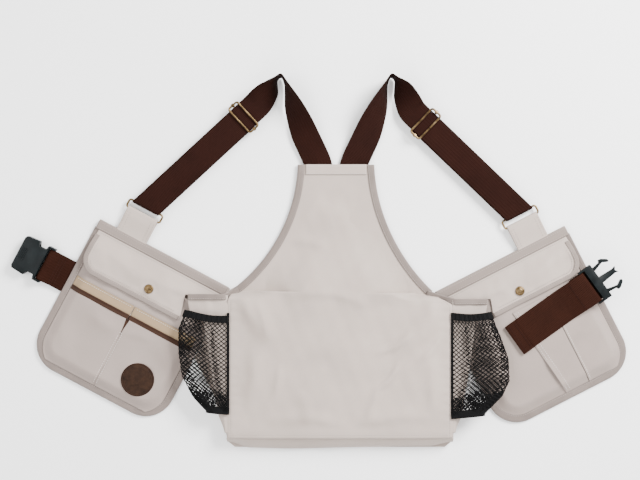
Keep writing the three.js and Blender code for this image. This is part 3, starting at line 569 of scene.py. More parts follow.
def plastic_material():
    """Moulded acetal: near black, a fine grain, and slightly rubbed patches."""
    s = Shader("buckle_plastic_look", 0.4, specular=0.10)
    grain = s.noise(0.0005, 2.0, 0.6)
    rub = s.noise(0.015, 4.0, 0.6)
    color = s.ramp(rub, [(0.35, (0.0022, 0.0034, 0.0038)), (0.75, (0.0062, 0.0085, 0.0092))])
    rough = s.math("MULTIPLY_ADD", rub, 0.25, 0.3)
    return s.finish(color, s.bump(grain, 0.00005, 0.5), rough)


def leather_material():
    """Dark leather: pebbled grain from cells over a brown mottled by noise; the badge's rim, pressed rings and leaf are
    in its shape.
    """
    s = Shader("badge_leather_look", 0.62, specular=0.10)
    cells = s.tree.nodes.new("ShaderNodeTexVoronoi")
    s.link(s.coords.outputs["Object"], cells.inputs["Vector"])
    cells.inputs["Scale"].default_value = 900.0
    grain = s.math("ADD", cells.outputs["Distance"], s.math("MULTIPLY", s.noise(0.004, 4.0), 0.8))
    color = s.ramp(s.noise(0.012, 5.0, 0.6), [(0.3, (0.009, 0.0038, 0.0018)), (0.7, (0.026, 0.0118, 0.0062))])
    return s.finish(color, s.bump(grain, 0.0003, 0.6))


def thread_material(name, color):
    """Sewing thread: a twisted pair, seen as slanting ridges."""
    s = Shader(name, 0.75, sheen=0.0, specular=0.08)
    twist = s.noise(0.0006, 2.0, 0.5)
    base = s.ramp(twist, [(0.3, tuple(c * 0.75 for c in color)), (0.7, color)])
    return s.finish(base, s.bump(twist, 0.0001, 0.6))


def net_material():
    """Black nylon net: a low sheen with fine fibre noise."""
    s = Shader("mesh_net_look", 0.6, sheen=0.0, specular=0.08)
    fibre = s.noise(0.001, 3.0, 0.6)
    base = s.ramp(fibre, [(0.3, (0.0014, 0.0014, 0.0015)), (0.8, (0.0050, 0.0048, 0.0050))])
    return s.finish(base, s.bump(fibre, 0.0001, 0.5))


LOOKS = {}
BELT_COLOR = (0.0158, 0.0046, 0.0024)
THREADS = (
    ("thread", "stone", (0.33, 0.285, 0.262)),
    ("dark_thread", "brown", (0.022, 0.008, 0.006)),
    ("pale_thread", "pale", (0.62, 0.57, 0.54)),
)


def make_looks(settings):
    """Every finish, made once, in the colours of the settings."""
    LOOKS["canvas"] = canvas_material("canvas_look", tuple(settings.canvas_color))
    LOOKS["pocket"] = canvas_material("pocket_canvas_look", tuple(settings.pocket_color))
    LOOKS["hem"] = canvas_material("hem_canvas_look", (0.205, 0.167, 0.147), 0.0010)
    LOOKS["binding"] = ribbed_material("binding_look", tuple(settings.binding_color), 0.0013)
    for key, color in (("webbing", tuple(settings.webbing_color)), ("belt", BELT_COLOR)):
        LOOKS[key] = ribbed_material(f"{'belt_' if key == 'belt' else ''}webbing_look", color, 0.0019, cross=0.0042,
                                     depth=0.0007, sheen=0.0, specular=0.05)
    LOOKS["tan"] = canvas_material("tan_trim_look", tuple(settings.tan_color), 0.0012)
    LOOKS["brown"] = canvas_material("brown_trim_look", tuple(settings.brown_color), 0.0012)
    LOOKS["elastic"] = ribbed_material("elastic_look", (0.0030, 0.0030, 0.0032), 0.0022, False, 0.001, 0.0006,
                                       0.0, 0.08)
    LOOKS["net"] = net_material()
    LOOKS["brass"] = brass_material()
    LOOKS["plastic"] = plastic_material()
    LOOKS["leather"] = leather_material()
    for key, name, color in THREADS:
        LOOKS[key] = thread_material(f"{name}_thread_look", color)
    by_slot = {
        "canvas": "canvas", "binding": "binding", "webbing": "webbing", "antique_brass": "brass",
        "buckle_plastic": "plastic", "mesh_net": "net", "elastic": "elastic", "tan_trim": "tan",
        "brown_trim": "brown", "badge_leather": "leather",
    }
    for part in frame["record"]["subparts"]:
        node = frame["nodes"][part["node"]]
        look = LOOKS[by_slot[part["material_slot"]]]
        for slot in node.material_slots:
            slot.material = look


# ---------------------------------------------------------------- shared places

class Front:
    """A front panel's own axes: u outward along its top edge, v down, read from the joints."""

    def __init__(self, name):
        sign = 1.0 if name == "left" else -1.0
        fold, flap = JOINTS[f"{name}_front_fold"], JOINTS[f"{name}_flap_hinge"]
        self.corner = np.array(fold["pos_m"]) * 1000
        self.out = unit(np.array(flap["axis"], float) * sign)
        self.down = unit(np.array(fold["axis"], float) * sign)

    def at(self, u, v, z):
        """Corner plus u along the top edge, plus v down, plus z up."""
        u, v, z = np.broadcast_arrays(np.asarray(u, float), np.asarray(v, float), np.asarray(z, float))
        flat = self.corner + u[..., None] * self.out + v[..., None] * self.down
        flat[..., 2] += z
        return flat


FRONT = {name: Front(name) for name in SIDES}


def armhole(name, t):
    """The cubic curve of an armhole, from the yoke's top down to its end."""
    x, y = ARMHOLE_END[name]
    flat = bezier([(YOKE_HALF, YOKE_TOP), (YOKE_HALF + 3, YOKE_TOP - 86), (YOKE_HALF + 50, y + 34), (x, y)], t)
    flat[..., 0] *= SIDE_SIGN[name]
    return flat


def edge_distance(u, v):
    """The distance in from a front panel's edge: to a straight side, or to a corner's arc."""
    qx = np.abs(u - PANEL_W / 2) - (PANEL_W / 2 - PANEL_R)
    qy = v - (PANEL_H - PANEL_R)
    corner = np.hypot(np.maximum(qx, 0), np.maximum(qy, 0))
    return PANEL_R - np.where((qx > 0) & (qy > 0), corner, np.maximum(qx, qy))


def corner_inset(v):
    """How far the rounded lower corners draw the panel's sides in at v."""
    depth = np.clip(v - (PANEL_H - PANEL_R), 0, PANEL_R)
    return PANEL_R - np.sqrt(PANEL_R**2 - depth**2)


def shell_z(name, u, v):
    """The pocket's height: flat at its edge, a soft ramp up to a plateau, and slow waves on top."""
    d = edge_distance(u, v)
    seed = 11 if name == "left" else 23
    rise = smooth(d, 7, 26)
    hollow = creases(u, v, [(60, 120, 20, 200, 14, -0.9), (150, 120, 190, 190, 16, -0.8), (100, 200, 160, 215, 9, 0.8)])
    return 2.3 + (PLATEAU_Z - 2.3) * rise + rise * (0.35 * waves(u, v, seed, 90) + hollow)


def strap_run(name):
    """The strap's straight run: its start at the slider, its direction, the level normal, its length, and how far
    the ring's bar leans from that normal."""
    f = FRONT[name]
    ring = f.at(TAB_U, -(TAB_LENGTH + RING_WIDTH), 0.0)
    start = np.array([*SLIDER_AT[name], 0.0])
    length = float(np.linalg.norm(ring - start))
    direction = (ring - start) / length
    perp = np.array([-direction[1], direction[0], 0.0])
    skew = float(f.out @ direction / (f.out @ perp))
    return start, direction, perp, length, skew


# ---------------------------------------------------------------- back panel

def outer_edge(name, t):
    """The outer panel's edge: down the armhole for the first half, then out to the bag's side and down it."""
    high = armhole(name, np.minimum(t * 2, 1))
    end_x, end_y = ARMHOLE_END[name]
    end_x *= SIDE_SIGN[name]
    y = mix(end_y, BAG_BOTTOM, np.clip(t * 2 - 1, 0, 1) ** 1.3)
    x = mix(end_x, BAG_EDGE[name], smooth(end_y - y, 0, 18))
    low = np.stack([x, y], axis=-1)
    return np.where((t < 0.5)[:, None], high, low)


def back_points(rows=221, cols=181):
    """The outer panel: a height that climbs from the yoke to the bag, with seams drawn in and soft creases."""
    t = np.linspace(0, 1, rows)
    s = np.linspace(0, 1, cols)
    left, right = outer_edge("left", t), outer_edge("right", t)
    xy = mix(left[:, None, :], right[:, None, :], s[None, :, None])
    x, y = xy[..., 0], xy[..., 1]
    step = np.gradient(left, axis=0)
    slope = np.where(t < 0.5, np.abs(unit(step)[:, 1]), 1.0)[:, None]
    inward = np.minimum(x - left[:, :1], right[:, :1] - x) * slope
    end = mix(ARMHOLE_END["left"][1], ARMHOLE_END["right"][1], s)[None, :]
    rim_rise = 1 - smooth(y - end, BAG_MOUTH - 13.0, 0)
    rim = YOKE_GAP_Z + 0.88 * BAG_DEPTH * rim_rise
    crown = YOKE_GAP_Z + (BAG_DEPTH + BAG_CROWN - YOKE_GAP_Z) * (1 - smooth(y, 0, 105))
    z = mix(rim, np.maximum(crown, rim), smooth(inward, 14, 62)) + 0.6
    lines = [
        (-150, 10, -96, -62, 13, 2.4), (-140, 22, -60, -10, 16, -1.8), (150, 4, 92, -70, 14, 2.5),
        (140, 20, 50, -6, 17, -1.9), (-60, 150, 30, 96, 15, 1.0), (40, 150, -34, 110, 14, 0.9),
        (-118, -60, -130, -160, 11, 1.9), (-40, -70, 20, -160, 22, -1.6), (128, -70, 138, -170, 12, 1.9),
        (60, -40, 84, -150, 20, -1.5), (-20, 40, -70, -40, 22, 1.4), (30, 60, 86, -10, 20, 1.4),
        (-116, 2, -98, -54, 6.5, 1.5), (108, -44, 56, -76, 5.5, 1.5), (152, -48, 116, -86, 6, 1.6),
        (90, -90, 58, -128, 5, 1.7), (58, -124, 38, -176, 7, 1.4), (-82, -92, -92, -142, 6, 1.2),
        (-62, 10, 46, -6, 8, 1.3), (-76, 86, -8, 74, 8, 1.0), (-50, -130, -40, -176, 9, 1.1),
        (-100, -170, 20, -182, 9, 1.2), (30, -178, 140, -168, 9, 1.2), (-10, 20, 14, -60, 20, -1.1),
    ]
    calm = smooth(inward, 6, 34) * smooth(YOKE_TOP - y, 14, 60) * smooth(y - BAG_BOTTOM, 3, 26)
    ripple = 2.1 * creases(x, y, lines) + 1.2 * waves(x, y, 5, 120) + 0.4 * waves(x, y, 6, 34)
    pucker = 0.28 * np.sin(y * 0.42 + 2.0 * np.sin(y * 0.05)) * bell(inward - 10, 7) * (y < 0)
    seam = -0.9 * bell(inward - 4.5, 1.4) * (y < 0)
    hem = -0.9 * bell(y - BAG_BOTTOM - 5.5, 1.5)
    fold = -2.6 * (1 - smooth(inward, 0, 3.0)) * smooth(-y, -2, 8)
    base = -2.2 * (1 - smooth(y - BAG_BOTTOM, 0, 3.0))
    z = z + calm * ripple + pucker + seam + hem + fold + base
    return np.stack([x, y, np.maximum(z, YOKE_GAP_Z + 0.6)], axis=-1)


def gusset_points(name, rows=121, cols=57):
    """The side fabric: a profile from the bag's edge out to a soft crease and back under, drawn in at the bottom."""
    crease_y, crease_x = np.array(CREASE[name], float).T
    start = crease_y[0] + (5 if name == "left" else 4)
    f = FRONT[name]
    lines = []
    for y in np.linspace(start, BAG_BOTTOM + 8, rows):
        crease = np.interp(-y, -crease_y, crease_x) + 3.5 * smooth(y, -22, 0)
        crease = crease * (1 - 0.45 * (1 - smooth(y, BAG_BOTTOM + 8, BAG_BOTTOM + 34)))
        tan = abs(f.down[0] / f.down[1])
        seam_x = f.corner[0] * SIDE_SIGN[name] + (f.corner[1] - y) * tan
        seam = seam_x - abs(BAG_EDGE[name]) - 2.5
        foot = min(seam, crease - 5)
        outline = [
            (-1.5, RIM_Z - 0.6), (3, RIM_Z - 0.9), (crease * 0.55, GUSSET_Z + 5.2), (crease - 4, GUSSET_Z + 3.2),
            (crease, GUSSET_Z + 1.2), (crease - 3, GUSSET_Z), (foot, GUSSET_Z - 0.6), (foot - 0.5, 2.4),
        ]
        lines.append(soften_path(resample(outline, cols), 12))
    flat = np.array(lines)
    y = level_rows(start, BAG_BOTTOM + 8, rows, cols)
    x = BAG_EDGE[name] + SIDE_SIGN[name] * flat[..., 0]
    z = flat[..., 1]
    inner = smooth(np.arange(cols) / cols, 0.04, 0.2) * (1 - smooth(np.arange(cols) / cols, 0.45, 0.6))
    seed = 31 if name == "left" else 37
    z = z + inner[None] * (0.9 * waves(x, y, seed, 40) + 0.35 * waves(x, y, seed + 1, 16))
    return np.stack([x, y, z], axis=-1)


NET_TILT = {"left": 7.0, "right": 1.0}  # how much higher the elastic stands at its outer end, mm
NET_STRAND = 1.7
NET_FOLD_CELL = 5.0
NET_BUNCH_CELL = 4.6


def net_profile(name, y, low, cols):
    """The net's section at y: off the bag's edge, up over its bulge, and tucked back under it."""
    reach_y, reach_x = np.array(MESH_REACH[name], float).T
    crease_y, crease_x = np.array(CREASE[name], float).T
    reach = np.interp(-y, -reach_y, reach_x)
    crease = np.interp(-y, -crease_y, crease_x)
    rim = RIM_Z + 2.4
    outline = [(-3.5, rim), (4, rim + 0.8), (max(reach - 14, 6), MESH_TOP - 0.4), (reach - 4, MESH_TOP - 2.2),
               (reach, MESH_TOP - 6)]
    if low:
        outline += [(reach - 1.5, GUSSET_Z + 6.4), (min(crease + 3, reach - 4), GUSSET_Z + 5.2)]
    return soften_path(resample(outline, cols), 4)


def net_points(name, y0, y1, rows, cols, low=True):
    """The net's surface: its section at each y, with slow folds in it."""
    ys = np.linspace(y0, y1, rows)
    flat = np.array([net_profile(name, y, low, cols) for y in ys])
    y = ys[:, None] * np.ones((1, cols))
    x = BAG_EDGE[name] + SIDE_SIGN[name] * flat[..., 0]
    first, last = MESH_REACH[name][0][0], MESH_REACH[name][-1][0]
    high, low_end = smooth(y, last, first), 1 - smooth(y, last, first)
    out = flat[..., 0] / 50
    y = y + high * (NET_TILT[name] * (out - 0.7) - 2.2 * np.sin(np.pi * np.clip(out, 0, 1)))
    y = y + low_end * 5.0 * np.clip(out, 0, 1)
    return np.stack([x, y, flat[..., 1]], axis=-1)


def read_grid(points, row, col):
    """Bilinear reading of a grid of points at fractional rows and columns."""
    rows, cols, _ = points.shape
    row = np.clip(row, 0, rows - 1.0001)
    col = np.clip(col, 0, cols - 1.0001)
    r, c = row.astype(int), col.astype(int)
    fr, fc = (row - r)[:, None], (col - c)[:, None]
    top = mix(points[r, c], points[r, c + 1], fc)
    low = mix(points[r + 1, c], points[r + 1, c + 1], fc)
    return mix(top, low, fr)


def wire_net(name, points, cell):
    """A net laid over a surface: diamonds, each one cell from corner to corner, turned to strands by a wireframe
    that is then applied."""
    width = np.linalg.norm(np.diff(points, axis=1), axis=-1).sum(axis=1).mean()
    height = np.linalg.norm(np.diff(points, axis=0), axis=-1).sum(axis=0).mean()
    nx, ny = int(width / cell * 2), int(height / cell * 2)
    i, j = np.meshgrid(np.arange(nx + 1), np.arange(ny + 1))
    keep = (i + j) % 2 == 0
    index = -np.ones_like(i)
    index[keep] = np.arange(keep.sum())
    at = read_grid(points, j[keep] / ny * (points.shape[0] - 1), i[keep] / nx * (points.shape[1] - 1))
    ci, cj = np.meshgrid(np.arange(1, nx), np.arange(1, ny))
    odd = (ci + cj) % 2 == 1
    ci, cj = ci[odd], cj[odd]
    quads = np.stack([index[cj, ci - 1], index[cj + 1, ci], index[cj, ci + 1], index[cj - 1, ci]], axis=-1)
    uv = np.stack([i[keep] / nx * width, j[keep] / ny * height], axis=-1) * 0.001
    obj = new_mesh(name, at, quads, uv, LOOKS["net"])
    strands = obj.modifiers.new("strands", "WIREFRAME")
    strands.thickness = NET_STRAND * 0.001
    strands.use_even_offset = False
    strands.use_boundary = True
    bake(obj)
    return obj, (width * 0.001, height * 0.001)


def bake(obj):
    """Replaces the object's mesh with its evaluated one, and drops its modifiers."""
    graph = bpy.context.evaluated_depsgraph_get()
    mesh = bpy.data.meshes.new_from_object(obj.evaluated_get(graph))
    mesh.name = obj.name
    obj.modifiers.clear()
    old = obj.data
    obj.data = mesh
    bpy.data.meshes.remove(old)
    mesh.polygons.foreach_set("use_smooth", np.full(len(mesh.polygons), True))


def folded_section(line, dense=30, rounds=2, count=20):
    """A tape's section: a line of a few points, rounded and given the tape's thickness."""
    return thicken(resample(soften_path(resample(line, dense), rounds), count), TAPE_T)


def binding_profile(top, width=8.6):
    """A folded tape's section: over the edge at height top, round it, and back underneath."""
    line = [(-width, top), (-width * 0.5, top + 0.12), (-0.6, top), (0.8, top - 0.8), (1.25, top * 0.5),
            (0.9, 0.5), (0.0, -0.25), (-2.5, -0.5), (-width, -0.5)]
    return folded_section(line, 40, 2, 26)


def outward_of(path, towards):
    """The horizontal normal of a path, turned to the side that towards gives."""
    tangent = unit(np.gradient(path, axis=0))
    normal = np.stack([tangent[:, 1], -tangent[:, 0], np.zeros(len(path))], axis=1)
    flip = np.sign(np.sum(normal * towards, axis=1, keepdims=True))
    return unit(normal) * np.where(flip == 0, 1, flip)


def build_back(net_cell):
    """The outer panel, hem, bottom gusset, armhole bindings and their thread."""
    points = back_points()
    cloth("back_outer_cloth", points, 1.1, LOOKS["canvas"], "back", ("back_outer_panel",))
    s, t = np.meshgrid(np.linspace(0, 1, 141), np.linspace(0, 1, 19))
    x = mix(BAG_EDGE["left"] - 0.5, BAG_EDGE["right"] + 0.5, s)
    bulge = np.sin(np.pi * t)
    round_end = 8.0 * (1 - smooth(np.minimum(s, 1 - s), 0, 0.10)) * t
    sag = t * (2.2 * bell(x + 62, 60) - 1.6 * smooth(x, 20, 150))
    y = mix(BAG_BOTTOM - 0.2, BAG_BOTTOM - 15.5, t) - bulge * (2.6 + 0.9 * waves(x, t * 20, 41, 60)) + round_end - sag
    z = mix(RIM_Z - 2.2, 1.8, t) + bulge * 0.8 * waves(x, t * 20, 42, 34)
    bottom = np.stack([x, y, z], axis=-1)
    cloth("bottom_gusset_cloth", bottom, 1.1, LOOKS["canvas"], "back", ("bottom_gusset",))
    hem_y = level_rows(YOKE_TOP + 0.4, YOKE_TOP - 14.5, 7, 41)
    hem_x = np.linspace(-YOKE_HALF + 10, YOKE_HALF - 10, 41)[None] * np.ones((7, 1))
    hem = np.stack([hem_x, hem_y, 5.5 + 0.06 * waves(hem_x, hem_y, 4, 12)], axis=-1)
    cloth("yoke_hem_cloth", hem, 0.8, LOOKS["canvas"], "back", ("yoke_hem_band",))
    for name in SIDES:
        build_armhole(name)
        build_side(name, net_cell)
    rows = [(-YOKE_HALF + 10, YOKE_HALF - 10, YOKE_TOP - 13.2), (-YOKE_HALF + 10, YOKE_HALF - 10, YOKE_TOP - 2.2)]
    lines = [np.array([(a, y, 6.0), (b, y, 6.0)]) for a, b, y in rows]
    stitches("yoke_stitches", lines, "back", LOOKS["pale_thread"], slot="canvas")
    hem_line = points[:, 4:-4][np.argmin(np.abs(points[:, 90, 1] - (BAG_BOTTOM + 5.5)))]
    left = points[points[:, 4, 1] < 0][:, 3]
    right = points[points[:, 4, 1] < 0][:, -4]
    lifted = [line + (0, 0, 0.62) for line in (hem_line, left, right)]
    stitches("bag_seam_stitches", lifted, "back", LOOKS["thread"], slot="canvas")


def build_armhole(name):
    """The tape round an armhole, on past its end along the top of the side fabric."""
    curve = armhole(name, np.linspace(0, 0.97, 60))
    path = np.c_[curve, np.zeros(len(curve))]
    towards = np.array([SIDE_SIGN[name], 0.35, 0.0])
    outward = outward_of(path, towards)
    tape(f"{name}_armhole_tape", path, outward, binding_profile(5.5), "binding", "back", (f"{name}_armhole_binding",))
    inset = path - outward * 7.2 + (0, 0, 6.0)
    stitches(f"{name}_armhole_stitches", inset, "back", LOOKS["thread"], slot="binding")
    sign = SIDE_SIGN[name]
    x0, y0 = ARMHOLE_END[name]
    top = gusset_points(name)[0]
    last = int(np.argmax(sign * top[:, 0])) + 2
    over = top[2:last:3] + (0, 1.0, 1.7)
    start = [(sign * (x0 - 9), y0 + 4.6, 7.6), (sign * (x0 + 1), y0 + 0.6, 11.0)]
    path = resample(soften_path(resample(np.r_[start, over], 90), 5), 70)
    side = np.tile([0.0, 1.0, 0.0], (len(path), 1))
    section = folded_section([(-7.5, 0.7), (-0.5, 0.8), (0.9, 0.0), (-0.5, -0.9), (-7, -0.9)])
    tape(f"{name}_side_tape", path, side, section, "binding", "back", ())
    stitches(f"{name}_side_tape_stitches", path + (0, -6.0, 1.3), "back", LOOKS["thread"], slot="binding")


def tape(name, path, side, section, look, body, nodes):
    """A folded tape swept along a path and put in its place."""
    piece = sweep(name, path, side, section, LOOKS[look])
    settle(piece, body, nodes)


def build_side(name, net_cell):
    """The side fabric, and the net pocket on it with its elastic, hem and seam."""
    cloth(f"{name}_side_cloth", gusset_points(name), 1.0, LOOKS["canvas"], "back", (f"{name}_side_gusset",))
    reach = MESH_REACH[name]
    top, low = reach[0][0], reach[-1][0]
    net_grid = net_points(name, top - 8, low, 60, 48)
    x, y = net_grid[..., 0], net_grid[..., 1]
    ripple = smooth(np.arange(48) / 47, 0.0, 0.25) * (1 - smooth(np.arange(48) / 47, 0.55, 0.8))
    net_grid[..., 2] += ripple[None] * (0.9 * waves(x, y, 51, 46) - 0.4)
    ys = np.linspace(top, low, 60)
    x = BAG_EDGE[name] - SIDE_SIGN[name] * 2.0
    seam = np.stack([np.full(60, x), ys, np.full(60, RIM_Z + 2.1)], axis=1)
    trim = sweep(f"{name}_net_seam", seam, (1.0, 0.0, 0.0), tape_profile(3.6, 1.0), LOOKS["elastic"])
    settle(trim, "back", ())
    obj, flat = wire_net(f"{name}_net", net_grid, net_cell)
    down, wide = np.meshgrid(np.linspace(3, 58, 45), np.linspace(-1, 1, 7), indexing="ij")
    for number, (high_col, low_col, half) in enumerate(((31, 21, 2.6), (11, 5, 1.3))):
        col = mix(high_col, low_col, down / 58) + wide * half * (0.5 + 0.5 * smooth(down, 0, 30))
        strip = read_grid(net_grid, down.ravel(), col.ravel()).reshape(45, 7, 3)
        strip[..., 2] += 1.9 - 0.9 * wide**2
        fold, _ = wire_net(f"{name}_net_fold_{number}", strip, NET_FOLD_CELL)
        settle(fold, "back", ())
    wide, down = np.meshgrid(np.linspace(1, 44, 45), np.linspace(-1, 1, 7))
    bunch = read_grid(net_grid, (51 + 5 * down + 1.5 * np.sin(wide * 0.4)).ravel(), wide.ravel()).reshape(7, 45, 3)
    bunch[..., 2] += 1.4 + 0.8 * np.sin(wide * 0.9)
    fold, _ = wire_net(f"{name}_net_bunch", bunch, NET_BUNCH_CELL)
    settle(fold, "back", ())
    settle(obj, "back", (f"{name}_mesh_pocket",))
    band = net_points(name, top + 0.9, top - 9.4, 9, 81, low=False)
    gather = 0.45 * np.sin(np.linspace(0, 60, 81))[None] * np.ones((9, 1))
    band[..., 2] += 0.6 + gather
    cloth(f"{name}_elastic", band, 1.5, LOOKS["elastic"], "back", (f"{name}_mesh_elastic",))
    hem = net_points(name, low + 8, low - 2.5, 9, 61)
    hem[..., 2] += 0.2
    cloth(f"{name}_net_hem", hem, 1.2, LOOKS["elastic"], "back", ())


# ---------------------------------------------------------------- front panels

def flap_span(name, v):
    """The flap's inner and outer edges at v: a stepped inner edge, and an outer one with a round lower corner."""
    top, knee, foot = FLAP_INNER[name]
    inner = np.interp(v, [top[1], knee[1], foot[1]], [top[0], knee[0], foot[0]])
    depth = np.clip(v - (FLAP_HEM[name] - FLAP_CORNER), 0, FLAP_CORNER)
    outer = PANEL_W - 6 - (FLAP_CORNER - np.sqrt(FLAP_CORNER**2 - depth**2))
    return inner, outer


def flap_z(name, u, v):
    """The flap's height: low at its seam, over the pocket's mouth by a soft step, dimpled at the snap."""
    z = mix(5.4, FLAP_Z, smooth(v, 13, 40))
    su, sv = SNAP[name]
    near = np.hypot(u - su, v - sv)
    z = z + 1.5 * smooth(v, FLAP_HEM[name] - 16, FLAP_HEM[name]) * smooth(near, 14, 34)
    dimple = -0.55 * bell(near - 9, 5)
    fold = creases(u, v, [(su - 10, sv - 4, su - 70, 26, 8, 0.7), (su + 12, sv - 6, su + 70, 24, 9, 0.7),
                          (su + 10, sv + 4, su + 62, FLAP_HEM[name] - 4, 7, -0.4), (30, 22, 90, 36, 6, 0.5)])
    seed = 61 if name == "left" else 67
    calm = smooth(v, 14, 24) * smooth(near, 7, 16)
    return z + dimple + calm * (0.8 * waves(u, v, seed, 60) + 0.2 * waves(u, v, seed + 1, 18) + 1.9 * fold)


def panel_outline(inset, top, start, step=1.6):
    """The front panel's edge drawn in by inset: down the inner side from start, round, and up the outer one to top."""
    r = PANEL_R - inset * 0.85
    low, far = PANEL_H - inset, PANEL_W - inset
    a = np.linspace(np.pi, np.pi / 2, 24)
    b = np.linspace(np.pi / 2, 0, 24)
    first = np.stack([inset + r + r * np.cos(a), low - r + r * np.sin(a)], axis=1)
    second = np.stack([far - r + r * np.cos(b), low - r + r * np.sin(b)], axis=1)
    path = np.concatenate([[(inset, start)], first, second, [(far, top)]])
    return resample(path, step=step)


def build_pocket(name):
    """The pocket's domed front, its edge tape, top tape and thread."""
    f, body = FRONT[name], f"{name}_front"
    v = level_rows(MOUTH_V, PANEL_H - 0.5, 151, 151)
    inset = corner_inset(v) + 0.5
    u = mix(inset, PANEL_W - inset, np.linspace(0, 1, 151)[None])
    points = f.at(u, v, shell_z(name, u, v) + 0.5 * bell(v - MOUTH_V, 3))
    cloth(f"{name}_pocket_cloth", points, 1.0, LOOKS["pocket"], body, (f"{name}_pocket_panel",))
    line = panel_outline(0.0, 11.0, 118.0)
    path = f.at(line[:, 0], line[:, 1], 0.0)
    centre = f.at(PANEL_W / 2, PANEL_H / 2, 0.0)
    tape(f"{name}_edge_tape", path, outward_of(path, path - centre), binding_profile(3.4, width=9.4), "binding",
         body, (f"{name}_edge_binding",))
    inner = panel_outline(7.6, 13.0, 122.0)
    stitches(f"{name}_edge_stitches", f.at(inner[:, 0], inner[:, 1], 3.98), body, LOOKS["thread"], slot="binding")
    u = np.linspace(3.0, PANEL_W - 0.5, 90)
    path = f.at(u, 0.0, 0.0)
    side = np.tile(-f.down, (len(u), 1))
    line = [(-12.6, 5.3), (-6, 5.6), (-0.8, 5.4), (0.9, 4.4), (1.2, 2.4), (0.8, 0.6), (-0.5, -0.3), (-4, -0.5),
            (-12, -0.5)]
    tape(f"{name}_top_tape", path, side, folded_section(line, 44, 3, 30), "hem", body, (f"{name}_top_band",))
    rows = [f.at(u[2:-2], 10.6, 5.85), f.at(u[2:-2], 2.2, 5.9)]
    stitches(f"{name}_top_stitches", rows, body, LOOKS["thread"], slot="binding")


def build_flap(name):
    """The flap, its turned hem, its thread and its snap."""
    f, body = FRONT[name], f"{name}_flap_panel"
    hem = FLAP_HEM[name] - 0.4
    v = level_rows(FLAP_TOP_V, hem, 75, 151)
    inner, outer = flap_span(name, v)
    u = mix(inner, outer, np.linspace(0, 1, 151)[None])
    cloth(f"{name}_flap_cloth", f.at(u, v, flap_z(name, u, v)), 1.0, LOOKS["canvas"], body, (f"{name}_flap",))
    vs = np.concatenate([np.linspace(20, hem - FLAP_CORNER, 20), hem - FLAP_CORNER * (1 - np.sin(
        np.linspace(0, np.pi / 2, 30)))])
    vs[-1] = hem - 0.01
    right = np.stack([flap_span(name, vs)[1], vs], axis=1)
    edge = resample(np.concatenate([right, [(flap_span(name, np.array(hem))[0] + 1, hem)]]), step=1.6)
    z = flap_z(name, edge[:, 0], edge[:, 1])
    path = f.at(edge[:, 0], edge[:, 1], z)
    middle = f.at(PANEL_W / 2, 30.0, 0.0)
    line = [(-5.6, 0.95), (-2.5, 1.05), (0.2, 0.9), (0.95, 0.2), (0.6, -0.7), (-0.6, -1.0), (-5, -0.95)]
    outward = outward_of(path, path - middle)
    tape(f"{name}_flap_hem", path, outward, folded_section(line), "hem", body, (f"{name}_flap_binding",))
    first = path - outward * 4.3 + (0, 0, 1.4)
    second = path - outward * 9.0 + (0, 0, 0.62)
    tops = f.at(np.linspace(14, PANEL_W - 10, 80), 15.6, flap_z(name, np.linspace(14, PANEL_W - 10, 80), 15.6) + 0.6)
    stitches(f"{name}_flap_stitches", [first[4:-4], second[6:-6], tops], body, LOOKS["thread"], slot="canvas")
    su, sv = SNAP[name]
    ground = float(flap_z(name, np.array(su), np.array(sv))) + 0.45
    cap = [(0, 2.25), (1.8, 2.2), (3.3, 2.0), (3.8, 1.65), (4.3, 1.95), (5.6, 1.8), (6.5, 1.35), (SNAP_R, 0.7),
           (SNAP_R - 0.1, 0.1), (SNAP_R - 0.8, -0.1), (0, -0.1)]
    piece = lathe(f"{name}_snap_button", cap, f.at(su, sv, ground), LOOKS["brass"], 48)
    settle(piece, body, (f"{name}_snap_cap",))


def patch_points(name, u0, u1, v0, v1, lift, rows, cols, slope=0.0):
    """A patch that follows the pocket's front at a height lift, kept inside the edge tape."""
    v = level_rows(v0, v1, rows, cols)
    s = np.linspace(0, 1, cols)[None]
    limit = corner_inset(v) + 9.4
    low = np.maximum(u0 + slope * (v - v0), limit)
    high = np.minimum(u1, PANEL_W - limit)
    u = mix(low, high, s)
    z = shell_z(name, u, v) + lift
    return FRONT[name].at(u, v, z), u, v


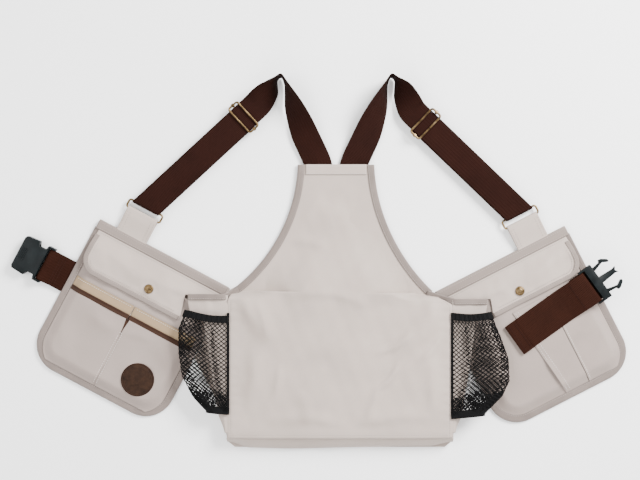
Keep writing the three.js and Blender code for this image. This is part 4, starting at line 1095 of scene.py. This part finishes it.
def build_left_patches():
    """The tan-edged pocket, the brown-edged pair in front of it, their slit and seams, and the badge."""
    f, body, base = FRONT["left"], "left_front", "left_pocket_cloth"
    mid, v_tan, v_brown, v_front = 109.0, 86.0, 100.0, 107.0
    foot = PANEL_H - 9.0
    points, _, _ = patch_points("left", 9.5, 204.5, v_tan + 12, foot, 1.05, 70, 110)
    cloth("left_rear_patch_cloth", points, 0.9, LOOKS["pocket"], body, ("left_rear_patch",))
    for half, u0, u1 in (("inner", 9.5, mid - 0.6), ("outer", mid + 0.6, 204.5)):
        points, u, v = patch_points("left", u0, u1, v_tan, v_brown + 1.5, 1.35, 16, 60)
        points[..., 2] += 0.5 * bell(v - v_tan, 2.0)
        nodes = ("left_tan_band",) if half == "inner" else ()
        cloth(f"left_tan_tape_{half}", points, 0.9, LOOKS["tan"], body, nodes)
        points, u, v = patch_points("left", u0, u1, v_brown, v_front + 4, 2.7, 45, 60)
        slack = bell(u - mid, 10) * 1.0
        under = 2.1 * smooth(v, v_front - 0.5, v_front + 0.3)
        points[..., 2] += 0.3 * bell(v - v_brown, 1.6) + slack - under
        nodes = ("left_brown_band",) if half == "inner" else ()
        cloth(f"left_brown_tape_{half}", points, 1.0, LOOKS["brown"], body, nodes)
        points, u, v = patch_points("left", u0, u1, v_front, foot, 2.1, 90, 90)
        open_slit = (1 - smooth(v, 104, 132)) * bell(u - mid, 12)
        seam = -0.85 * bell(u - mid, 2.4) * smooth(v, 124, 136)
        slump = creases(u, v, [(mid - 4, 128, mid - 46, 118, 7, 0.8), (mid + 4, 128, mid + 50, 122, 8, 0.8),
                               (150, 205, 190, 150, 12, 0.8), (40, 206, 16, 150, 12, 0.6)])
        calm = smooth(edge_distance(u, v), 12, 30)
        points[..., 2] += open_slit * 1.4 + seam + (1.8 * slump + 0.5 * waves(u, v, 63, 50)) * calm
        aside = (1 - smooth(v, 96, 129)) * bell(u - mid, 8) * (-3.0 if half == "inner" else 3.0)
        points += aside[..., None] * f.out
        cloth(f"left_front_patch_cloth_{half}", points, 0.9, LOOKS["pocket"], body, (f"left_front_patch_{half}",))
    # A brown tape under the slit: partly the slit's bound edge, and partly painted shade standing for the slit's
    # shadowed inside.
    points, u, v = patch_points("left", mid - 7, mid + 7, v_brown + 1, 131.0, 1.75, 30, 15)
    cloth("left_slit_binding_and_shade", points, 0.7, LOOKS["brown"], body, ())
    ends = (12.0, mid - 4), (mid + 4, 202.0)
    rows, dark = [], []
    for a, b in ends:
        u = np.linspace(a, b, 60)
        dark.append(f.at(u, v_brown + 1.8, shell_z("left", u, v_brown + 1.8) + 3.6))
        rows.append(f.at(u, v_tan + 2.6, shell_z("left", u, v_tan + 2.6) + 2.05))
    v = np.linspace(130, foot - 4, 50)
    for aside in (-2.2, 2.2):
        rows.append(f.at(mid + aside, v, shell_z("left", np.full(50, mid + aside), v) + 2.3))
    rows.append(f.at(np.linspace(mid - 2.2, mid + 2.2, 4), 129.0, PLATEAU_Z + 2.6))
    stitches("left_patch_stitches", rows, body, LOOKS["pale_thread"], slot="canvas")
    stitches("left_trim_stitches", dark, body, LOOKS["dark_thread"], slot="brown_trim")
    build_badge(f, body)


def build_badge(f, body):
    """A leather disc: a polar grid with a rounded rim, two pressed rings and a plain leaf in relief."""
    radius = 24.0
    r = np.concatenate([np.linspace(0.05, radius - 1, 60), radius - 1 + np.sin(np.linspace(0.2, np.pi / 2, 6))])
    angle = np.linspace(0, 2 * math.pi, 160, endpoint=False)
    rr, aa = np.meshgrid(r, angle, indexing="ij")
    x, y = rr * np.cos(aa), rr * np.sin(aa)
    rim = -1.1 * (1 - np.sqrt(np.clip(1 - (rr - radius + 1).clip(0, 1) ** 2, 0, 1)))
    rings = -0.45 * bell(rr - 21.0, 0.6) - 0.3 * bell(rr - 18.6, 0.45)
    turn = math.radians(38)
    lx, ly = x * math.cos(turn) + y * math.sin(turn), -x * math.sin(turn) + y * math.cos(turn)
    half_width = 6.2 * np.clip(1 - (lx / 13.5) ** 2, 0, 1)
    leaf = 0.55 * smooth(half_width - np.abs(ly), -0.2, 1.2)
    veins = -0.4 * bell(ly, 0.4) - 0.3 * bell(np.sin((lx - np.abs(ly)) * 1.35), 0.35)
    stem = 0.5 * bell(ly, 0.8) * smooth(lx, 12, 13.5) * (1 - smooth(lx, 16, 17))
    z = 1.7 + rim + rings + leaf * (1 + 0.8 * veins) + stem + 0.08 * waves(x, y, 71, 6)
    z = z - 0.25 * (1 - smooth(half_width - np.abs(ly), -3, 0)) * (1 - smooth(rr, 16.5, 17.5))
    top = np.stack([x, y, z], axis=-1)
    low = top[::-1].copy()
    low[..., 2] = 0.1
    full = np.concatenate([top, low[:1], low])
    u, v = 56.0, 177.0
    centre = f.at(u, v, shell_z("left", np.array(u), np.array(v)) + 2.55)
    verts = (full + centre).reshape(-1, 3)
    quads = grid_quads(len(full), 160, False, True)
    piece = new_mesh("leather_badge_disc", verts, quads, full.reshape(-1, 3)[:, :2] * 0.001, LOOKS["leather"])
    work = bmesh.new()
    work.from_mesh(piece.data)
    bmesh.ops.holes_fill(work, edges=[e for e in work.edges if e.is_boundary], sides=0)
    bmesh.ops.recalc_face_normals(work, faces=work.faces[:])
    work.to_mesh(piece.data)
    work.free()
    settle(piece, body, ("leather_badge",))
    ring = np.c_[22.7 * np.cos(angle), 22.7 * np.sin(angle), np.full(160, 1.62)] + centre
    stitches("badge_stitches", np.r_[ring, ring[:1]], body, LOOKS["dark_thread"], pitch=3.0, length=2.0,
             slot="badge_leather")


def build_right_patches():
    """The overlay on the right pocket: one panel with a stitched pleat that makes two upright pockets."""
    f, body, base = FRONT["right"], "right_front", "right_pocket_cloth"
    foot = PANEL_H - 9.0
    points, u, v = patch_points("right", 88.0, 142.6, 76.0, foot, 1.3, 90, 50, slope=0.13)
    left = 88.0 + 0.13 * (v - 76)
    lift = smooth(edge_distance(u, v), 10, 34) * smooth(v, 150, 172)
    points[..., 2] += 2.6 * bell(u - left, 6.0) * lift
    cloth("right_pleat_cloth", points, 0.9, LOOKS["pocket"], body, ("right_pleat_panel",))
    points, u, v = patch_points("right", 143.4, 204.5, 76.0, foot, 1.35, 90, 56)
    slump = creases(u, v, [(150, 150, 196, 128, 8, 0.9), (150, 200, 186, 170, 9, 0.8), (160, 120, 200, 110, 8, -0.6)])
    points[..., 2] += 0.8 * bell(u - 143.4, 2.6) + 1.8 * slump * smooth(edge_distance(u, v), 12, 26)
    cloth("right_patch_cloth", points, 0.9, LOOKS["pocket"], body, ("right_patch_panel",))
    v = np.linspace(78, foot - 4, 70)
    rows = []
    for offset, slope, lift in ((3.0, 0.13, 2.3), (58.0, 0.0, 2.3), (7.6, 0.13, 2.0)):
        u = 88.0 + offset + slope * (v - 76)
        rows.append(f.at(u, v, shell_z("right", u, v) + lift))
    stitches("right_patch_stitches", rows, body, LOOKS["pale_thread"], slot="canvas")


def build_tab(name):
    """The canvas tab folded over the ring's inner bar, with thread round its edge."""
    f, body = FRONT[name], f"{name}_front"
    r = WIRE_R + 1.1
    a = np.linspace(np.pi / 2, -np.pi / 2, 15)
    line = [(-9, 4.2), (2, 4.4), (14, 6.0), (26, RING_Z + 2.2)]
    line += [(TAB_LENGTH + r * math.cos(t), RING_Z + r * math.sin(t)) for t in a]
    line += [(26, 2.6), (14, 2.2), (2, 2.1), (-9, 2.1)]
    line = soften_path(resample(line, 110), 4)
    cols = 41
    s = np.linspace(-1, 1, cols)
    u = TAB_U + s[None] * TAB_W / 2 * np.ones((len(line), 1))
    v = -line[:, :1] * np.ones((1, cols))
    z = line[:, 1:] + 0.15 * waves(u, v, 81, 30)
    cloth(f"{name}_tab_cloth", f.at(u, v, z), 1.0, LOOKS["canvas"], body, (f"{name}_tab",))
    rows = []
    for side in (-1, 1):
        out = np.linspace(2, TAB_LENGTH - 4, 30)
        top = np.interp(out, line[:45, 0], line[:45, 1]) + 0.62
        for inset in (2.6, 7.0):
            rows.append(f.at(TAB_U + side * (TAB_W / 2 - inset), -out, top))
    stitches(f"{name}_tab_stitches", rows, body, LOOKS["thread"], slot="canvas")
    ring = wire_loop(f"{name}_ring_wire", f.at(TAB_U, -(TAB_LENGTH + RING_WIDTH / 2), RING_Z), f.out, f.down,
                     TAB_W / 2 + 3, RING_WIDTH / 2)
    settle(ring, body, (f"{name}_strap_ring",))


def wire_loop(name, centre, across, along, half_across, half_along, corner=3.2):
    """A round wire swept along a rectangle with rounded corners, and joined to itself."""
    points = []
    for k, (sx, sy) in enumerate(((1, 1), (-1, 1), (-1, -1), (1, -1))):
        angle = np.linspace(k * np.pi / 2, (k + 1) * np.pi / 2, 9)
        cx, cy = sx * (half_across - corner), sy * (half_along - corner)
        points.append(np.stack([cx + corner * np.cos(angle), cy + corner * np.sin(angle)], axis=1))
    loop = np.concatenate(points)
    loop = resample(np.r_[loop, loop[:1]], step=1.2)[:-1]
    path = centre + loop[:, :1] * across + loop[:, 1:] * along
    side = outward_of(np.r_[path, path[:1]], np.r_[path, path[:1]] - centre)[:-1]
    return sweep(name, path, side, circle(WIRE_R, 16), LOOKS["brass"], closed=True)


# ---------------------------------------------------------------- straps

def ribbon(name, path, side, thick, width, material):
    """A strap: a soft-edged flat section carried along a path, its width along the side vectors as given."""
    profile = tape_profile(width, thick)
    tangent = unit(np.gradient(path, axis=0))
    up = unit(np.cross(side, tangent))
    rings = path[:, None] + side[:, None] * profile[None, :, :1] + up[:, None] * profile[None, :, 1:]
    uv = np.stack(np.meshgrid(profile[:, 0], running(path)), axis=-1).reshape(-1, 2) * 0.001
    return tube(name, rings, uv, material)


def strap_route(name):
    """The strap's centre line and side vectors: up from the yoke, on edge at the neck, flat to the ring and back."""
    sign = SIDE_SIGN[name]
    start, direction, perp, length, skew = strap_run(name)
    top = STRAP_TOP_Z

    def on(distance, z):
        return tuple(start[:2] + direction[:2] * distance) + (z,)

    stops = [((sign * 21, 176, 2.4), 0), ((sign * 27, 201, 2.6), 0), ((sign * 45, 239, 8), 12),
             ((sign * 62, 281, 18), 50), ((sign * 72.5, 312, 20.8), 85), ((sign * 78.5, 325, 20.8), 90),
             ((sign * 85.5, 318.5, 20.8), 90), ((sign * 95, 303, 17), 50), (on(-27, top + 0.6), 6),
             (on(-15, top), 0), (on(60, top), 0), (on(length - 60, top), 0), (on(length - 8, top), 0)]
    packed = resample(np.array([(*p, r) for p, r in stops], float), step=1.0)
    packed = soften_path(packed, 40)
    centre, roll = packed[:, :3], np.radians(packed[:, 3])
    tangent = unit(np.gradient(centre, axis=0))
    level = unit(np.stack([tangent[:, 1], -tangent[:, 0], np.zeros(len(centre))], axis=1))
    side = np.stack([level[:, 0] * np.cos(roll), level[:, 1] * np.cos(roll), -sign * np.sin(roll)], axis=1)
    along = (centre - start) @ direction
    lean = smooth(along, length - 95, length - 55)
    side -= np.outer(lean * skew, direction) * np.sign(np.sum(side * -perp, axis=1, keepdims=True))
    radius = (STRAP_TOP_Z - STRAP_LOW_Z) / 2
    middle = length + WIRE_R + 0.3 + STRAP_T / 2 - radius
    angle = np.linspace(np.pi / 2, -np.pi / 2, 17)
    bend = [on(middle + radius * math.cos(a), STRAP_LOW_Z + radius + radius * math.sin(a)) for a in angle]
    back = resample(np.array([bend[-1], on(length - 60, STRAP_LOW_Z), on(-9, STRAP_LOW_Z)]), step=2.0)[1:]
    turn = -perp - skew * direction
    gone = smooth((back - start) @ direction, length - 95, length - 55)
    back_side = -perp[None] - np.outer(gone * skew, direction)
    path = np.concatenate([centre, bend, back])
    sides = np.concatenate([side, np.tile(turn, (len(bend), 1)), back_side])
    return path, sides


def build_strap(name):
    """One shoulder strap with its sewn end, thread, and the slider that the end is sewn to."""
    path, side = strap_route(name)
    body, front = f"{name}_slider", f"{name}_front"
    start, direction, perp, length, _ = strap_run(name)
    strap = ribbon(f"{name}_strap", path, side, STRAP_T, STRAP_W, LOOKS["webbing"])
    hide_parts(f"{name}_shoulder_webbing", f"{name}_strap_loop", f"{name}_strap_return")
    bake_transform(strap)

    def on(x, z):
        return start + direction * x + (0, 0, z)

    a = np.linspace(-np.pi / 2, -3 * np.pi / 2, 13)
    line = [on(15, 3.6), on(6, 3.3)] + [on(2.7 * math.cos(t), 5.8 + 2.7 * math.sin(t)) for t in a]
    line += [on(6, 8.1), on(15, 6.6), on(17, 5.4)]
    loop = resample(np.array(line), step=0.9)
    piece = ribbon(f"{name}_sewn_end", loop, np.tile(-perp, (len(loop), 1)), 1.3, STRAP_W - 1.5, LOOKS["webbing"])
    settle(piece, body, (f"{name}_strap_end",))
    wire = wire_loop(f"{name}_slider_wire", on(0, SLIDER_Z), perp, direction, SLIDER_HALF, SLIDER_LENGTH / 2)
    settle(wire, body, (f"{name}_slider_frame",))
    softened(f"{name}_slider_bar", 0.35, body, LOOKS["brass"])
    rows = []
    for x in (7.5, 12.5):
        across = np.linspace(-17, 17, 30)[:, None] * perp
        rows.append(on(x, 8.95 if x < 10 else 7.9) + across)
    stitches(f"{name}_end_stitches", rows, body, LOOKS["dark_thread"], slot="webbing", **BOX_STITCH)


def softened(node, width, body, material):
    """A smoother stand-in for a hard node: its own shape with flat faces merged and edges rounded."""
    source = frame["nodes"][node]
    mesh = source.data.copy()
    mesh.name = f"{node}_smooth"
    obj = bpy.data.objects.new(f"{node}_smooth", mesh)
    bpy.context.scene.collection.objects.link(obj)
    work = bmesh.new()
    work.from_mesh(mesh)
    bmesh.ops.remove_doubles(work, verts=work.verts[:], dist=1e-5)
    bmesh.ops.dissolve_limit(work, angle_limit=math.radians(2), verts=work.verts[:], edges=work.edges[:])
    work.to_mesh(mesh)
    work.free()
    mesh.materials.clear()
    mesh.materials.append(material)
    soft = obj.modifiers.new("round", "BEVEL")
    soft.width = width * 0.001
    soft.segments = 3
    soft.limit_method = "ANGLE"
    soft.angle_limit = math.radians(34)
    soft.use_clamp_overlap = True
    bake(obj)
    smooth_by_angle(obj.data, 32)
    settle(obj, body, (node,))


def smooth_by_angle(mesh, degrees):
    """Marks edges sharper than an angle, so that shading breaks there only."""
    work = bmesh.new()
    work.from_mesh(mesh)
    for face in work.faces:
        face.smooth = True
    for edge in work.edges:
        edge.smooth = not edge.is_manifold or edge.calc_face_angle(0.0) < math.radians(degrees)
    work.to_mesh(mesh)
    work.free()


# ---------------------------------------------------------------- waist belt

def build_socket_side():
    """The left belt webbing, sewn under the panel's edge and looped round the socket's bar."""
    f = FRONT["left"]
    bar_u = PANEL_W + SOCKET_REACH
    a = np.linspace(-np.pi / 2, np.pi / 2, 13)
    line = [(-44, 2.3), (-8, 2.3), (-4, 2.5)] + [(4.6 * math.cos(t), 6 + 3.5 * math.sin(t)) for t in a]
    line += [(-5, 8.4), (-13, 4.9), (-20, 3.9), (-35, 3.9)]
    line = resample(soften_path(resample(line, 150), 3), 110)
    path = f.at(bar_u + line[:, 0], BELT_V, line[:, 1])
    piece = ribbon("left_belt", path, np.tile(f.down, (len(path), 1)), BELT_T, BELT_W, LOOKS["belt"])
    settle(piece, "left_front", ("left_belt_webbing",))
    rows = [f.at(bar_u - x, BELT_V + np.linspace(-21, 21, 30), z) for x, z in ((18, 4.85), (22, 4.6), (14, 5.3))]
    stitches("left_belt_stitches", rows, "left_front", LOOKS["dark_thread"], slot="webbing", **BOX_STITCH)
    softened("buckle_socket", 0.9, "socket", LOOKS["plastic"])
    for k in range(4):
        rib = f.at(bar_u + 33 + k * 2.4, BELT_V + np.linspace(-9, 9, 20), 12.15)
        piece = sweep(f"socket_rib_{k}", rib, tuple(f.out), circle(0.55, 10), LOOKS["plastic"])
        settle(piece, "socket", ())


def build_plug_side():
    """The right belt webbing from its anchor, round the plug's bar and back as a folded tail."""
    f = FRONT["right"]
    origin = f.at(PLUG_UV[0], PLUG_UV[1], 0.0)
    turn = math.radians(PLUG_TURN)
    along = f.out * math.cos(turn) - f.down * math.sin(turn)
    across = np.array([-along[1], along[0], 0.0])
    line = [(6, 2.3), (18, 2.3), (21.4, 3.4), (22.4, 6), (22.4, 11.2), (21.6, 13.1), (18, 13.5), (-12, 13.5),
            (-15.9, 14.3), (-16.6, 15.7), (-15.2, 17), (-12, 17.3), (1.5, 17.4), (4.9, 18.2), (6.1, 20.6), (4.9, 23),
            (1.5, 23.8), (-8, 22.7), (-18, 20.6), (-30, 16.8), (-40, 14.6), (-52, 13.8), (-90, 13.6), (-126, 13.6),
            (-129.5, 14.2), (-129.6, 15.0), (-126, 15.3), (-112, 15.1)]
    line = resample(soften_path(resample(line, 420), 3), 330)
    path = origin + line[:, :1] * along + np.array([0, 0, 1.0]) * line[:, 1:]
    rise = 0.35 * np.sin(line[:, 0] * 0.07) * (line[:, 0] < -50)
    path[:, 2] += np.maximum(rise, -0.1)
    piece = ribbon("right_belt", path, np.tile(across, (len(path), 1)), BELT_T, BELT_W, LOOKS["belt"])
    settle(piece, "right_front", ("right_belt_webbing", "right_belt_anchor"))
    s = np.linspace(-20, 20, 30)[:, None]
    rows = [origin + along * x + across * s + (0, 0, 16.0) for x in (-124, -115)]
    rows.append(origin + along * -20 + across * s + (0, 0, 20.9))
    stitches("right_belt_stitches", rows, "right_front", LOOKS["dark_thread"], slot="webbing", **BOX_STITCH)
    for node, moves in (("buckle_plug", "plug"), ("plug_arm_upper", "upper_arm"), ("plug_arm_lower", "lower_arm")):
        softened(node, 0.6, moves, LOOKS["plastic"])


# ---------------------------------------------------------------- stage

def build_stage(settings):
    """A pale floor, broad soft lights and a camera that looks straight down."""
    scene = bpy.context.scene
    mesh = bpy.data.meshes.new("floor")
    half = 6.0
    z = -0.0012
    mesh.from_pydata([(-half, -half, z), (half, -half, z), (half, half, z), (-half, half, z)], [], [(0, 1, 2, 3)])
    floor = bpy.data.objects.new("floor", mesh)
    scene.collection.objects.link(floor)
    s = Shader("floor_look", 0.9, specular=0.1)
    grain = s.noise(0.4, 2.0)
    mesh.materials.append(s.finish(s.ramp(grain, [(0.3, (0.93, 0.93, 0.93)), (0.7, (0.95, 0.95, 0.95))])))
    world = bpy.data.worlds.new("studio")
    scene.world = world
    world.use_nodes = True
    world.node_tree.nodes["Background"].inputs["Color"].default_value = (1.0, 1.0, 1.0, 1.0)
    world.node_tree.nodes["Background"].inputs["Strength"].default_value = settings.world_light
    for name, place, size, power in (
        ("key", (1.35, 1.15, 1.35), 0.9, settings.key_light),
        ("fill", (-1.3, 0.4, 1.6), 1.6, settings.key_light * 0.22),
        ("low", (-0.2, -1.5, 1.4), 1.5, settings.key_light * 0.18),
    ):
        light = bpy.data.lights.new(name, "AREA")
        light.shape = "SQUARE"
        light.size = size
        light.energy = power
        obj = bpy.data.objects.new(name, light)
        obj.location = place
        obj.rotation_euler = (Vector((0.0, 0.05, 0.0)) - Vector(place)).to_track_quat("-Z", "Y").to_euler()
        scene.collection.objects.link(obj)
    camera = bpy.data.cameras.new("camera")
    camera.sensor_width = 36.0
    camera.lens = settings.lens
    camera.clip_start = 0.05
    eye = bpy.data.objects.new("camera", camera)
    eye.location = (settings.camera_x, settings.camera_y, settings.camera_height)
    scene.collection.objects.link(eye)
    scene.camera = eye


# ---------------------------------------------------------------- add-on

class VestStageSettings(bpy.types.PropertyGroup):
    """Sizes of the stage and its camera."""

    world_light: bpy.props.FloatProperty(name="World light", description="Strength of the even light", default=1.15)
    key_light: bpy.props.FloatProperty(name="Key light", description="Power of the main soft light, in watts",
                                       default=160.0)
    lens: bpy.props.FloatProperty(name="Lens", description="Focal length in millimetres", default=62.0)
    camera_x: bpy.props.FloatProperty(name="Camera X", description="Where the camera stands", default=-0.0232,
                                      unit="LENGTH")
    camera_y: bpy.props.FloatProperty(name="Camera Y", description="Where the camera stands", default=0.087,
                                      unit="LENGTH")
    camera_height: bpy.props.FloatProperty(name="Camera height", description="Height above the floor", default=1.6,
                                           unit="LENGTH")


def color_property(name, description, default):
    """A linear colour that the user can pick."""
    return bpy.props.FloatVectorProperty(name=name, description=description, subtype="COLOR", size=3, min=0.0,
                                         max=1.0, default=default)


class VestLookSettings(bpy.types.PropertyGroup):
    """Colours of the cloth and tapes, and the size of the nets' cells."""

    canvas_color: color_property("Canvas", "Colour of the back's canvas", (0.385, 0.320, 0.281))
    pocket_color: color_property("Front canvas", "Colour of the front panels' canvas", (0.275, 0.224, 0.199))
    binding_color: color_property("Binding", "Colour of the edge tapes", (0.165, 0.132, 0.116))
    webbing_color: color_property("Webbing", "Colour of the shoulder straps", (0.0128, 0.0038, 0.0024))
    tan_color: color_property("Tan trim", "Colour of the tan tape", (0.262, 0.186, 0.112))
    brown_color: color_property("Brown trim", "Colour of the brown tape", (0.030, 0.0125, 0.0065))
    net_cell: bpy.props.FloatProperty(name="Net cell", description="Width of the nets' diamonds, corner to corner",
                                      default=0.0066, min=0.004, max=0.02, unit="LENGTH")


class VestLooks(bpy.types.Operator):
    """Makes every finish and lays them on the CAD nodes."""

    bl_idname = "vest.looks"
    bl_label = "Finishes"

    def execute(self, context):
        make_looks(context.scene.vest_looks)
        return {"FINISHED"}


class VestBack(bpy.types.Operator):
    """Builds the back panel, its bag, tapes and net pockets."""

    bl_idname = "vest.back"
    bl_label = "Back and bag"

    def execute(self, context):
        build_back(context.scene.vest_looks.net_cell * 1000)
        return {"FINISHED"}


class VestFronts(bpy.types.Operator):
    """Builds both front panels, their flaps, patches and tabs."""

    bl_idname = "vest.fronts"
    bl_label = "Front panels"

    def execute(self, context):
        for name in SIDES:
            build_pocket(name)
            build_flap(name)
            build_tab(name)
        build_left_patches()
        build_right_patches()
        return {"FINISHED"}


class VestStraps(bpy.types.Operator):
    """Builds both shoulder straps and their sliders."""

    bl_idname = "vest.straps"
    bl_label = "Shoulder straps"

    def execute(self, context):
        for name in SIDES:
            build_strap(name)
        return {"FINISHED"}


class VestBelt(bpy.types.Operator):
    """Builds the waist belt and its buckle."""

    bl_idname = "vest.belt"
    bl_label = "Waist belt"

    def execute(self, context):
        build_socket_side()
        build_plug_side()
        return {"FINISHED"}


class VestStage(bpy.types.Operator):
    """Builds the floor, the lights and the camera."""

    bl_idname = "vest.stage"
    bl_label = "Stage"

    def execute(self, context):
        build_stage(context.scene.vest_stage)
        return {"FINISHED"}


STEPS = (VestLooks, VestBack, VestFronts, VestStraps, VestBelt, VestStage)


class VestPanel(bpy.types.Panel):
    """The add-on's buttons and settings."""

    bl_idname = "VEST_PT_main"
    bl_label = "Field Vest"
    bl_space_type = "VIEW_3D"
    bl_region_type = "UI"
    bl_category = "Field Vest"

    def draw(self, context):
        for step in STEPS:
            self.layout.operator(step.bl_idname)
        for settings in (context.scene.vest_looks, context.scene.vest_stage):
            for name in type(settings).__annotations__:
                self.layout.prop(settings, name)


CLASSES = (VestStageSettings, VestLookSettings, *STEPS, VestPanel)


def register():
    for cls in CLASSES:
        bpy.utils.register_class(cls)
    bpy.types.Scene.vest_stage = bpy.props.PointerProperty(type=VestStageSettings)
    bpy.types.Scene.vest_looks = bpy.props.PointerProperty(type=VestLookSettings)


def unregister():
    del bpy.types.Scene.vest_stage
    del bpy.types.Scene.vest_looks
    for cls in reversed(CLASSES):
        bpy.utils.unregister_class(cls)


def main():
    """Registers the add-on, and runs each step in order."""
    register()
    for step in STEPS:
        group, name = step.bl_idname.split(".")
        getattr(getattr(bpy.ops, group), name)()


if __name__ == "__main__":
    main()
